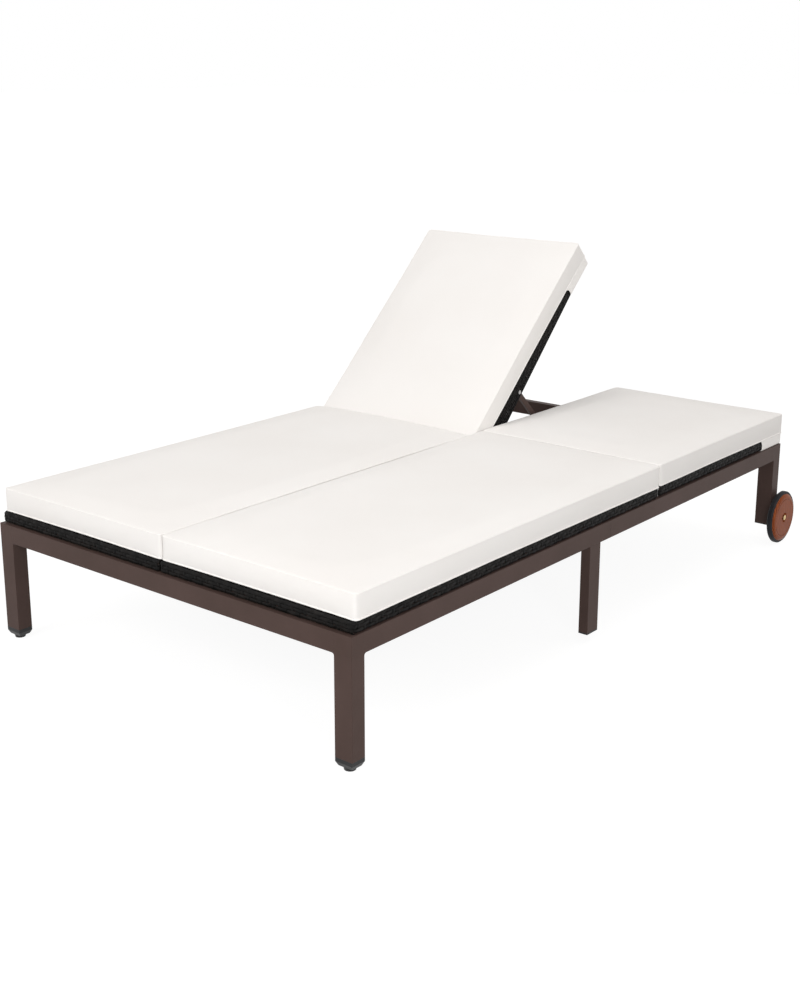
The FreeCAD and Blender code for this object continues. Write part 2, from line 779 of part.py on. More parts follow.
def rack(web_x, flange_x, flange_width):
    body = document.addObject("PartDesign::Body", "rack")
    sketch = sketch_on(body, "YZ_Plane")
    start = f"{rod_reach(NOTCH_STEPS[0])} - rack_end"
    end = f"{rod_reach(0)} + rack_end"
    points = [(start, "rack_bottom"), (end, "rack_bottom"), (end, "rack_top")]
    for steps in reversed(NOTCH_STEPS):
        reach = rod_reach(steps)
        points.append((f"{reach} + notch_half_width", "rack_top"))
        points.append((reach, "rack_top - notch_depth"))
        points.append((f"{reach} - notch_half_width / 2", "rack_top - notch_depth"))
        points.append((f"{reach} - notch_half_width / 2", "rack_top"))
    points.append((start, "rack_top"))
    outline(sketch, [(f"hinge_y + {y}", z) for y, z in points])
    web = body.newObject("PartDesign::Pad", "web")
    web.Profile = sketch
    bind(web, Length="rack_thickness")
    place(body, web_x)
    flange = box(flange_x, f"hinge_y + {start}", "rack_bottom", flange_width, f"{end} - ({start})",
                 "rack_flange_thickness")
    return fuse(body, flange)


def racks():
    """The inner rack stands on the centre bar, the outer one is welded to the side rail."""
    inner_web = "arm_inner_x + prop_arm_thickness + rack_arm_gap"
    outer_web = "arm_outer_x - prop_arm_thickness - rack_arm_gap - rack_thickness"
    inner = rack(inner_web, f"{inner_web} - rack_flange_width + rack_thickness", "rack_flange_width")
    outer = rack(outer_web, outer_web, f"rail_inner_x - ({outer_web})")
    return [inner, outer]


def sketch_on(body, role):
    sketch = body.newObject("Sketcher::SketchObject", "profile")
    plane = next(plane for plane in body.Origin.OriginFeatures if plane.Role == role)
    sketch.AttachmentSupport = [(plane, "")]
    sketch.MapMode = "FlatFace"
    return sketch


def outline(sketch, points):
    """Closed polygon whose corners are all tied to the sheet."""
    corners = [FreeCAD.Vector(size(first), size(second), 0) for first, second in points]
    count = len(corners)
    for index in range(count):
        sketch.addGeometry(Part.LineSegment(corners[index], corners[(index + 1) % count]), False)
    for index in range(count):
        sketch.addConstraint(Sketcher.Constraint("Coincident", index, 2, (index + 1) % count, 1))
    for index, (corner, formulas) in enumerate(zip(corners, points)):
        for kind, axis, value, formula in (("DistanceX", -2, corner.x, formulas[0]),
                                           ("DistanceY", -1, corner.y, formulas[1])):
            if formula == "0":
                sketch.addConstraint(Sketcher.Constraint("PointOnObject", index, 1, axis))
                continue
            rule = sketch.addConstraint(Sketcher.Constraint(kind, -1, 1, index, 1, value))
            sketch.setExpression(f"Constraints[{rule}]", in_sheet(formula))


# Cushions: box cushions with drawn-in sides and a crowned top


CORNER_STEPS = 4
SIDE_STEPS = 6
CROWN_SHARES = (0.65, 1.0)


def bowed(start, end, inward):
    """Points between two corners, drawn in most at the middle."""
    points = []
    for step in range(1, SIDE_STEPS):
        share = step / SIDE_STEPS
        points.append(start + (end - start) * share + inward * (4 * share * (1 - share)))
    return points


def cushion_ring(x, end_x, y, end_y, z, inset):
    """Outline of a cushion at one height: sides bowed inwards between rounded corners."""
    x, end_x, y, end_y = x + inset, end_x - inset, y + inset, end_y - inset
    radius = size("cushion_corner_radius")
    draw = size("cushion_side_draw")
    quarter = math.pi / 2
    corners = ((end_x - radius, end_y - radius), (x + radius, end_y - radius),
               (x + radius, y + radius), (end_x - radius, y + radius))
    rounds = []
    for index, (centre_x, centre_y) in enumerate(corners):
        turned = [quarter * (index + step / CORNER_STEPS) for step in range(CORNER_STEPS + 1)]
        rounds.append([FreeCAD.Vector(centre_x + radius * math.cos(angle),
                                      centre_y + radius * math.sin(angle), z)
                       for angle in turned])
    inwards = ((0, -draw), (draw, 0), (0, draw), (-draw, 0))
    points = []
    for index, rounded in enumerate(rounds):
        following = rounds[(index + 1) % len(rounds)]
        points += rounded + bowed(rounded[-1], following[0], FreeCAD.Vector(*inwards[index], 0))
    return Part.makePolygon(points + points[:1])


def cushion_shape(x, end_x, y, end_y, z):
    """Soft block standing on z, lofted from its outlines."""
    edge = size("cushion_edge")
    top = z + size("cushion_thickness")
    crown = size("cushion_crown")
    levels = [(z, edge), (z + edge, 0), (top - edge, 0), (top, edge)]
    for share, inset in zip(CROWN_SHARES, ("crown_shoulder", "crown_plateau")):
        levels.append((top + crown * share, size(inset)))
    rings = [cushion_ring(x, end_x, y, end_y, level, inset) for level, inset in levels]
    return Part.makeLoft(rings, True, True)


def soft_part(shape):
    part = document.addObject("Part::Feature", "cushion")
    part.Shape = shape
    return part


def seat_cushion():
    return soft_part(cushion_shape(size("cushion_x"), size("cushion_end_x"),
                                   size("foot_y + foot_ledge + cushion_foot_inset"),
                                   size("hinge_y - cushion_end_gap"),
                                   size("frame_top + panel_height")))


def pressed_seat_cushion():
    """The seat cushion beside a raised back, its end pressed down by the back cushion."""
    room = box("-frame_width", "cushion_end_gap - soft_clearance", "hinge_gap / 2",
               "2 * frame_width", "frame_length",
               "back_panel_top + 2 * soft_clearance + cushion_thickness + cushion_crown - hinge_gap / 2")
    return cut(mirrored(seat_cushion()), on_hinge(group(room), "back_raise"))


def back_cushion():
    """Back cushion with the sewn pocket that slips over the head end of the woven panel."""
    bottom = "back_panel_top + soft_clearance"
    pad = soft_part(cushion_shape(size("cushion_x"), size("cushion_end_x"), size("cushion_end_gap"),
                                  size("back_cushion_end"), size(bottom)))
    wall = "(pocket_wall + soft_clearance)"
    pocket_y = "back_panel_end - pocket_depth"
    pocket_z = f"back_panel_bottom - {wall}"
    sleeve = box("cushion_x", pocket_y, pocket_z, "cushion_end_x - cushion_x",
                 f"back_cushion_end - cushion_side_draw - ({pocket_y})",
                 f"{bottom} + 2 * cushion_edge - ({pocket_z})")
    room = box("back_panel_x - soft_clearance", f"{pocket_y} - cut_overrun",
               "back_panel_bottom - soft_clearance",
               "back_panel_end_x - back_panel_x + 2 * soft_clearance",
               "pocket_depth + cut_overrun + soft_clearance", "panel_height + 2 * soft_clearance")
    return fuse(pad, cut(sleeve, room))


# Transport wheels on the head legs


# Rim of the disc from its inner face to its outer one: shares of its thickness and of its radius.
DISC_RIM_SHARES = ((0, 1), (0.78, 1), (0.95, 0.93), (1, 0.86), (1, 0.8), (0.92, 0.785), (1, 0.77))
HUB_SEAT_SHARE = 0.84


def turned_on_x(label, points):
    """Solid turned about the X axis from an outline of (x, radius)."""
    body = document.addObject("PartDesign::Body", label)
    sketch = sketch_on(body, "XY_Plane")
    outline(sketch, points)
    solid = body.newObject("PartDesign::Revolution", "turned")
    solid.Profile = sketch
    solid.ReferenceAxis = (sketch, ["H_Axis"])
    solid.Angle = 360
    return body


def wheel_disc():
    """Turned disc with a bevelled rim, a groove round its face and a seat for the bolt head."""
    bore = "axle_radius + turning_clearance"
    seat = f"disc_thickness * {HUB_SEAT_SHARE}"
    points = [("0", bore)]
    for across, out in DISC_RIM_SHARES:
        points.append((f"disc_thickness * {across}" if across else "0", f"disc_radius * {out}"))
    points += [("disc_thickness", "hub_radius"), (seat, "hub_radius"), (seat, bore)]
    return turned_on_x("disc", points)


def wheel_tyre():
    start = "(disc_thickness - tyre_setback - tyre_width)"
    end = "(disc_thickness - tyre_setback)"
    points = [
        (start, "disc_radius"), (start, "wheel_radius - tyre_shoulder"),
        (f"{start} + tyre_shoulder", "wheel_radius"), (f"{end} - tyre_shoulder", "wheel_radius"),
        (end, "wheel_radius - tyre_shoulder"), (end, "disc_radius"),
    ]
    return turned_on_x("tyre", points)


def both_wheels(maker, label):
    right = maker()
    place(right, "wheel_x", "axle_y", "axle_height")
    name_part(right, label + "_right")
    left = maker()
    place(left, "-wheel_x", "axle_y", "axle_height")
    turn(left, "180", "z")
    name_part(left, label + "_left")


def axle_bolt():
    seat = f"wheel_x + disc_thickness * {HUB_SEAT_SHARE} + wheel_end_gap"
    tail = "leg_x - axle_nut_height - axle_end"
    shank = cylinder("axle_radius", f"{seat} - ({tail})", tail, "axle_y", "axle_height", "x")
    head = cylinder("axle_head_radius", "axle_head_height", seat, "axle_y", "axle_height", "x")
    return [fuse(shank, head)]


def axle_spacer():
    outer = cylinder("spacer_radius", "spacer_length", "half_width", "axle_y", "axle_height", "x")
    bore = cylinder("axle_radius", "spacer_length + 2 * cut_overrun", "half_width - cut_overrun",
                    "axle_y", "axle_height", "x")
    return [cut(outer, bore)]


def axle_nut():
    x = "leg_x - axle_nut_height"
    nut = hexagon("axle_nut_flats", "axle_nut_height", x, "axle_y", "axle_height")
    thread = cylinder("axle_radius", "axle_nut_height + 2 * cut_overrun", f"{x} - cut_overrun",
                      "axle_y", "axle_height", "x")
    return [cut(nut, thread)]


def build_panels():
    both_sides(seat_panel_frame, "seat_panel_frame")
    both_sides(seat_panel_weave, "seat_panel_weave")
    both_backs(back_panel_frame, "back_panel_frame")
    both_backs(back_panel_weave, "back_panel_weave")


def build_hinges():
    name_part(on_hinge(grouped(fixed_leaves)(), "0"), "hinge_fixed_leaves_right")
    name_part(on_hinge(mirrored(grouped(fixed_leaves)()), "0"), "hinge_fixed_leaves_left")
    name_part(on_hinge(grouped(hinge_pins)(), "0"), "hinge_pins_right")
    name_part(on_hinge(mirrored(grouped(hinge_pins)()), "0"), "hinge_pins_left")
    both_backs(grouped(moving_leaves), "hinge_moving_leaves")


def build_props():
    both_backs(grouped(pivot_lugs), "pivot_lugs")
    both_backs(grouped(pivot_bolts), "pivot_bolts")
    both_props(prop_arms, "prop_arms")
    both_props(prop_rod, "prop_rod")
    both_sides(grouped(racks), "racks")


def build_cushions():
    name_part(seat_cushion(), "seat_cushion_right")
    name_part(pressed_seat_cushion(), "seat_cushion_left")
    both_backs(back_cushion, "back_cushion")


def build_wheels():
    both_wheels(wheel_disc, "wheel_disc")
    both_wheels(wheel_tyre, "wheel_tyre")
    both_sides_group(axle_bolt, "axle_bolts")
    both_sides_group(axle_spacer, "axle_spacers")
    both_sides_group(axle_nut, "axle_nuts")


def check_and_write():
    for item in document.Objects:
        if "Invalid" in item.State or "Error" in item.State:
            raise RuntimeError(f"{item.Name} ({item.Label}) failed: {item.State}")
    for part in ROOT_PARTS:
        if part.Shape.isNull() or not part.Shape.isValid() or part.Shape.Volume <= 0:
            raise RuntimeError(f"{part.Label} has no valid shape")
    os.makedirs("parts", exist_ok=True)
    for part in ROOT_PARTS:
        part.Shape.exportStep(f"parts/{part.Label}.step")


build_frame()
build_feet()
build_panels()
build_hinges()
build_props()
build_cushions()
build_wheels()
document.recompute()
check_and_write()
print(len(ROOT_PARTS), "parts written")
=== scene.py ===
import bpy
import bmesh
import json
import math
from mathutils import Matrix, Vector, noise


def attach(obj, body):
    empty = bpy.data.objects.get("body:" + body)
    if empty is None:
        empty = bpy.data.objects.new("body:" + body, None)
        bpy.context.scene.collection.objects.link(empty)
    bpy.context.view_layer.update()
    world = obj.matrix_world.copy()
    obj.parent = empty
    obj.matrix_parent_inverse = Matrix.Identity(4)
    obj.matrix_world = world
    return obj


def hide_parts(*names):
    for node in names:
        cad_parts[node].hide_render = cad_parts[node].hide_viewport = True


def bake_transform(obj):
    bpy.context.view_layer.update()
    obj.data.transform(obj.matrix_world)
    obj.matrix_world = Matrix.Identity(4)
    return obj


# A double chaise: brown tube frame, black woven panels, off-white box cushions with a pocket that slips
# over the head end of each back, props that drop into notched racks, and wooden wheels.
# Metres; X across, Y to the head, Z up. Seat pieces are drawn in the row frame; a back's pieces are drawn
# flat with the hinge line at zero, and on_side takes them to their place. The left ones are mirrored.

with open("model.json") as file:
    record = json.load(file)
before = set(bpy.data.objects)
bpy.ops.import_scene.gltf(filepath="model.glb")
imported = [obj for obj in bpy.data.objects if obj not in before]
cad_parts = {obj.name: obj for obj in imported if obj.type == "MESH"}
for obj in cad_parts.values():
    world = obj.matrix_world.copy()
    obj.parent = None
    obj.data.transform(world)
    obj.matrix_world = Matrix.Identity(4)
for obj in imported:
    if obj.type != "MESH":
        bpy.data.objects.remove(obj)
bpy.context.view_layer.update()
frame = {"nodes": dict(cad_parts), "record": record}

FOOT_Y = -1.024
HINGE = Vector((0, FOOT_Y + 1.246, 0.329))
BACK_RAISE = math.radians(43.71)
SIDES = {"right": (1, 0.0), "left": (-1, BACK_RAISE)}

SEAT_DECK_Z = 0.334
CUSHION_X = (0.0006, 0.5857)
CUSHION_THICKNESS = 0.060
CUSHION_CORNER = 0.010
CUSHION_PLAY = 0.0003
CUSHION_FOOT_Y = FOOT_Y + 0.017
BACK_PANEL_X = (0.004, 0.5834)
BACK_PANEL_Y = (0.005, 0.732)
BACK_PANEL_Z = (-0.0204, 0.0076)
SEAT_PANEL_X = (0.002, 0.585)
SEAT_PANEL_Y = (FOOT_Y + 0.009, FOOT_Y + 1.241)
SEAT_PANEL_Z = (0.306, 0.334)
SKIRT_X = (0.004, 0.007)
SKIRT_Y = (0.005, 0.6117)
SKIRT_Z = (-0.0164, -0.0514)
POCKET_Y = (0.612, 0.744)
POCKET_LOW_Z = BACK_PANEL_Z[0] - 0.0022
SEAT_SEED = {"right": 3, "left": 11}
BACK_SEED = {"right": 5, "left": 17}


def new_node(tree, kind, inputs=None, **settings):
    """A new node in a node tree, with its settings made and its inputs linked or given a value."""
    made = tree.nodes.new(kind)
    for name, value in settings.items():
        setattr(made, name, value)
    for name, value in (inputs or {}).items():
        if isinstance(value, bpy.types.NodeSocket):
            tree.links.new(value, made.inputs[name])
        else:
            made.inputs[name].default_value = value
    return made


class Finish:
    """A node material that is put together one layer at a time."""

    def __init__(self, name, colour, roughness, **sockets):
        self.material = bpy.data.materials.new(name)
        self.material.use_nodes = True
        self.tree = self.material.node_tree
        self.shader = next(node for node in self.tree.nodes if node.type == "BSDF_PRINCIPLED")
        self.shader.inputs["Base Color"].default_value = (*colour, 1)
        self.shader.inputs["Roughness"].default_value = roughness
        for socket, value in sockets.items():
            self.shader.inputs[socket.replace("_", " ")].default_value = value
        self.place = self.node("ShaderNodeTexCoord").outputs["Object"]
        self.bump = None

    def node(self, kind, inputs=None, **settings):
        return new_node(self.tree, kind, inputs, **settings)

    def link(self, output, socket):
        self.tree.links.new(output, self.shader.inputs[socket])

    def moved(self, scale, turn=(0, 0, 0)):
        inputs = {"Vector": self.place, "Scale": scale, "Rotation": turn}
        return self.node("ShaderNodeMapping", inputs).outputs["Vector"]

    def cloud(self, scale, detail=3, vector=None, rough=0.5):
        inputs = {"Scale": scale, "Detail": detail, "Roughness": rough, "Vector": vector or self.place}
        return self.node("ShaderNodeTexNoise", inputs).outputs["Fac"]

    def ramp(self, value, *stops):
        made = self.node("ShaderNodeValToRGB", {"Fac": value})
        band = made.color_ramp
        while len(band.elements) < len(stops):
            band.elements.new(0.5)
        for element, (at, colour) in zip(band.elements, stops):
            element.position = at
            element.color = (*colour, 1)
        return made.outputs["Color"]

    def mixed(self, share, first, second):
        """The first colour, a socket, with a share of the second, three numbers, laid over it."""
        return self.node("ShaderNodeMix", {0: share, 6: first, 7: (*second, 1)}, data_type="RGBA").outputs[2]

    def math(self, operation, first, second):
        made = self.node("ShaderNodeMath", {0: first, 1: second}, operation=operation)
        return made.outputs["Value"]

    def relief(self, height, distance, strength=1.0):
        inputs = {"Height": height, "Distance": distance, "Strength": strength}
        if self.bump:
            inputs["Normal"] = self.bump
        self.bump = self.node("ShaderNodeBump", inputs).outputs["Normal"]
        self.link(self.bump, "Normal")

    def rounded_edges(self, radius):
        """Lets the light turn round the edges as it does on a bent or eased edge of this radius."""
        self.bump = self.node("ShaderNodeBevel", {"Radius": radius}, samples=4).outputs["Normal"]
        self.link(self.bump, "Normal")

    def colour(self, socket):
        self.link(socket, "Base Color")

    def rough(self, value, low, high):
        made = self.node("ShaderNodeMapRange", {"Value": value, "To Min": low, "To Max": high})
        self.link(made.outputs["Result"], "Roughness")


def powder_coat():
    """Brown powder coat: even colour, fine orange peel, a faint mottle, light catching its rounded edges."""
    finish = Finish("brown_powder_coat", (0.066, 0.041, 0.035), 0.48, Specular_IOR_Level=0.13)
    mottle = finish.cloud(9, 4)
    dust = finish.cloud(55, 5, rough=0.65)
    body = finish.ramp(mottle, (0.3, (0.060, 0.037, 0.031)), (0.7, (0.074, 0.046, 0.040)))
    finish.colour(finish.mixed(finish.math("MULTIPLY", dust, 0.1), body, (0.11, 0.078, 0.068)))
    finish.rough(dust, 0.42, 0.54)
    finish.rounded_edges(0.0016)
    finish.relief(finish.cloud(900, 2), 0.00006, 0.4)
    return finish.material


def woven_resin():
    """Black resin strand: slightly ribbed, glossy on its crowns, a little browner in places."""
    finish = Finish("black_resin_strand", (0.008, 0.0075, 0.0075), 0.45, Specular_IOR_Level=0.07)
    patches = finish.cloud(38, 3)
    finish.colour(finish.ramp(patches, (0.35, (0.005, 0.005, 0.005)), (0.62, (0.010, 0.009, 0.0085)),
                              (0.8, (0.020, 0.018, 0.017))))
    finish.rough(finish.cloud(140, 3), 0.3, 0.6)
    finish.relief(finish.cloud(700, 2, finish.moved((1, 1, 0.25))), 0.0001, 0.6)
    return finish.material


def canvas(name, light=1.0):
    """Off-white polyester canvas with a plain weave, faint slubs and soft broad shading."""
    finish = Finish(name, (0.86, 0.845, 0.825), 0.88, Sheen_Weight=0.08, Sheen_Roughness=0.5)
    broad = finish.cloud(3.2, 3)
    slub = finish.cloud(420, 2, finish.moved((1, 0.12, 1)))
    slub_across = finish.cloud(420, 2, finish.moved((0.12, 1, 1)))
    # light scales the whole tone; a value above 1 gives a lighter copy of the same canvas, which is painted
    # light
    tone = finish.ramp(broad, (0.3, (0.845 * light, 0.826 * light, 0.806 * light)),
                       (0.7, (0.87 * light, 0.856 * light, 0.84 * light)))
    threads = finish.math("ADD", slub, slub_across)
    finish.colour(finish.mixed(finish.math("MULTIPLY", threads, 0.05), tone, (0.76, 0.73, 0.70)))
    weave = {"Vector": finish.place, "Scale": 420.0, "Distortion": 0.6}
    warp, weft = (finish.node("ShaderNodeTexWave", weave, bands_direction=direction).outputs["Fac"]
                  for direction in "XY")
    finish.relief(finish.math("MULTIPLY", warp, weft), 0.00025, 0.35)
    finish.relief(finish.cloud(16, 3), 0.004, 0.12)
    return finish.material


def moulded_black():
    finish = Finish("black_moulding", (0.010, 0.010, 0.011), 0.4, Specular_IOR_Level=0.3)
    finish.rough(finish.cloud(90, 3), 0.32, 0.5)
    finish.colour(finish.ramp(finish.cloud(30), (0.3, (0.008, 0.008, 0.009)), (0.7, (0.015, 0.015, 0.016))))
    finish.relief(finish.cloud(1200, 2), 0.00005, 0.4)
    return finish.material


def plated_steel():
    finish = Finish("zinc_plate", (0.5, 0.5, 0.51), 0.34, Metallic=1.0)
    finish.colour(finish.ramp(finish.cloud(60, 4), (0.3, (0.38, 0.38, 0.39)), (0.7, (0.6, 0.6, 0.6))))
    finish.rough(finish.cloud(200, 3), 0.26, 0.46)
    return finish.material


def yellow_brass():
    finish = Finish("brass_plate", (0.62, 0.44, 0.2), 0.28, Metallic=1.0)
    finish.colour(finish.ramp(finish.cloud(120, 4), (0.3, (0.5, 0.34, 0.14)), (0.7, (0.72, 0.54, 0.27))))
    finish.rough(finish.cloud(240, 3), 0.2, 0.38)
    return finish.material


def varnished_wood():
    """Red-brown varnished wood, its grain running across the disc."""
    finish = Finish("varnished_wood", (0.24, 0.055, 0.014), 0.3, Specular_IOR_Level=0.08)
    along = finish.moved((3, 3, 0.35), (0.35, 0, 0))
    grain = finish.node("ShaderNodeTexWave", {"Vector": along, "Scale": 22.0, "Distortion": 7.0, "Detail": 3.0,
                                              "Detail Scale": 1.6}, bands_direction="Y").outputs["Fac"]
    fibre = finish.cloud(500, 3, finish.moved((1, 1, 0.06), (0.35, 0, 0)))
    wood = finish.ramp(grain, (0.0, (0.15, 0.030, 0.007)), (0.55, (0.27, 0.062, 0.015)),
                       (1.0, (0.40, 0.105, 0.028)))
    finish.colour(finish.mixed(finish.math("MULTIPLY", fibre, 0.4), wood, (0.12, 0.026, 0.008)))
    finish.rounded_edges(0.0025)
    finish.relief(fibre, 0.0001, 0.3)
    return finish.material


def tyre_rubber():
    finish = Finish("grey_black_rubber", (0.014, 0.014, 0.016), 0.55, Specular_IOR_Level=0.2)
    finish.colour(finish.ramp(finish.cloud(40, 4), (0.3, (0.010, 0.010, 0.012)), (0.7, (0.020, 0.020, 0.023))))
    finish.rough(finish.cloud(160, 3), 0.5, 0.75)
    finish.relief(finish.cloud(800, 2), 0.00012, 0.5)
    return finish.material


COAT = powder_coat()
RESIN = woven_resin()
CANVAS = canvas("off_white_canvas")
# A lighter copy of the same canvas for the seams and the pocket: painted light, not a different cloth
PAINTED_LIGHT_CANVAS = canvas("canvas_painted_lighter", 1.08)
BLACK = moulded_black()
STEEL = plated_steel()
BRASS = yellow_brass()
WOOD = varnished_wood()
RUBBER = tyre_rubber()

SLOT_FINISH = {
    "frame_brown": COAT, "woven_black": RESIN, "cushion_white": CANVAS, "glide_black": BLACK,
    "steel": STEEL, "brass": BRASS, "wheel_wood": WOOD, "tyre_rubber": RUBBER,
}


def finish_cad_nodes():
    slots = {entry["node"]: entry["material_slot"] for entry in frame["record"]["subparts"]}
    for name, node in frame["nodes"].items():
        node.data.materials.clear()
        node.data.materials.append(SLOT_FINISH[slots[name]])


class Tree:
    """A geometry tree with named inputs, wired one node at a time."""

    def __init__(self, name, **inputs):
        self.group = bpy.data.node_groups.new(name, "GeometryNodeTree")
        self.group.interface.new_socket("Geometry", in_out="OUTPUT", socket_type="NodeSocketGeometry")
        self.values = {}
        kinds = {float: "NodeSocketFloat", int: "NodeSocketInt"}
        entrance = self.group.nodes.new("NodeGroupInput")
        for label, value in inputs.items():
            socket = self.group.interface.new_socket(label, in_out="INPUT", socket_type=kinds[type(value)])
            socket.default_value = value
            self.values[label] = (entrance.outputs[socket.name], socket.identifier)

    def __getitem__(self, label):
        return self.values[label][0]

    def add(self, kind, inputs=None, **settings):
        return new_node(self.group, kind, inputs, **settings)

    def math(self, operation, *values):
        return self.add("ShaderNodeMath", dict(enumerate(values)), operation=operation).outputs[0]

    def vector(self, operation, *values):
        sockets = (0, 3) if operation == "SCALE" else (0, 1, 2)
        return self.add("ShaderNodeVectorMath", dict(zip(sockets, values)), operation=operation).outputs[0]

    def xyz(self, x=0.0, y=0.0, z=0.0):
        return self.add("ShaderNodeCombineXYZ", {0: x, 1: y, 2: z}).outputs[0]

    def parts_of(self, vector):
        return self.add("ShaderNodeSeparateXYZ", {0: vector}).outputs

    def lines(self, start, end, samples, count, first, step):
        """Copies of one straight line, stepped sideways, as resampled curves."""
        line = self.add("GeometryNodeCurvePrimitiveLine", {"Start": start, "End": end}).outputs[0]
        line = self.add("GeometryNodeResampleCurve", {"Curve": line, "Count": samples}).outputs[0]
        points = self.add("GeometryNodeMeshLine", {"Count": count, "Start Location": first, "Offset": step})
        copies = self.add("GeometryNodeInstanceOnPoints", {"Points": points.outputs[0], "Instance": line})
        return self.add("GeometryNodeRealizeInstances", {"Geometry": copies.outputs[0]}).outputs[0]

    def strips(self, curves, position, normal, width, thickness, sides=8):
        """Strands of lens-shaped section along curves that are moved to a position and faced along a normal."""
        stored = self.add("GeometryNodeCaptureAttribute", {"Geometry": curves})
        stored.capture_items.new("VECTOR", "normal")
        self.group.links.new(normal, stored.inputs[1])
        moved = self.add("GeometryNodeSetPosition", {"Geometry": stored.outputs[0], "Position": position})
        faced = self.add("GeometryNodeSetCurveNormal", {"Curve": moved.outputs[0]}, mode="FREE")
        self.group.links.new(stored.outputs[1], faced.inputs["Normal"])
        round_section = self.add("GeometryNodeCurvePrimitiveCircle", {"Resolution": sides, "Radius": 0.5})
        section = self.add("GeometryNodeTransform", {"Geometry": round_section.outputs[0],
                                                     "Scale": self.xyz(thickness, width, 1.0)})
        swept = {"Curve": faced.outputs[0], "Profile Curve": section.outputs[0], "Fill Caps": True}
        return self.add("GeometryNodeCurveToMesh", swept).outputs[0]

    def close(self, material, *geometry):
        joined = self.add("GeometryNodeJoinGeometry")
        for piece in geometry:
            self.group.links.new(piece, joined.inputs[0])
        real = self.add("GeometryNodeRealizeInstances", {"Geometry": joined.outputs[0]})
        smooth = self.add("GeometryNodeSetShadeSmooth", {"Geometry": real.outputs[0], "Shade Smooth": True})
        coloured = self.add("GeometryNodeSetMaterial", {"Geometry": smooth.outputs[0], "Material": material})
        exit_node = self.group.nodes.new("NodeGroupOutput")
        self.group.links.new(coloured.outputs[0], exit_node.inputs[0])

    def make(self, name, **values):
        """Applies the tree with these values and gives back a plain mesh object."""
        holder = bpy.data.objects.new(name + "_tree", bpy.data.meshes.new(name + "_empty"))
        bpy.context.scene.collection.objects.link(holder)
        modifier = holder.modifiers.new("tree", "NODES")
        modifier.node_group = self.group
        for label, value in values.items():
            modifier[self.values[label][1]] = value
        graph = bpy.context.evaluated_depsgraph_get()
        mesh = bpy.data.meshes.new_from_object(holder.evaluated_get(graph))
        bpy.data.objects.remove(holder)
        piece = bpy.data.objects.new(name, mesh)
        bpy.context.scene.collection.objects.link(piece)
        return piece


def leaned(tree, normal, sideways, place, amount):
    """A strand's normal, tipped to either side by slow fixed noise along the strand."""
    drift = tree.add("ShaderNodeTexNoise", {"Vector": place, "Scale": 1.0, "Detail": 1.0}).outputs[0]
    tip = tree.math("MULTIPLY", tree.math("SUBTRACT", drift, 0.5), amount)
    return tree.vector("NORMALIZE", tree.vector("ADD", normal, tree.vector("SCALE", sideways, tip)))


def wave(tree, place, parity, height, side):
    """Over and under: +height where place + parity is even at a crossing, -height where it is odd."""
    turn = tree.math("MULTIPLY", tree.math("ADD", tree.math("SUBTRACT", place, 0.5), parity), math.pi)
    return tree.math("MULTIPLY", tree.math("COSINE", turn), tree.math("MULTIPLY", height, side))


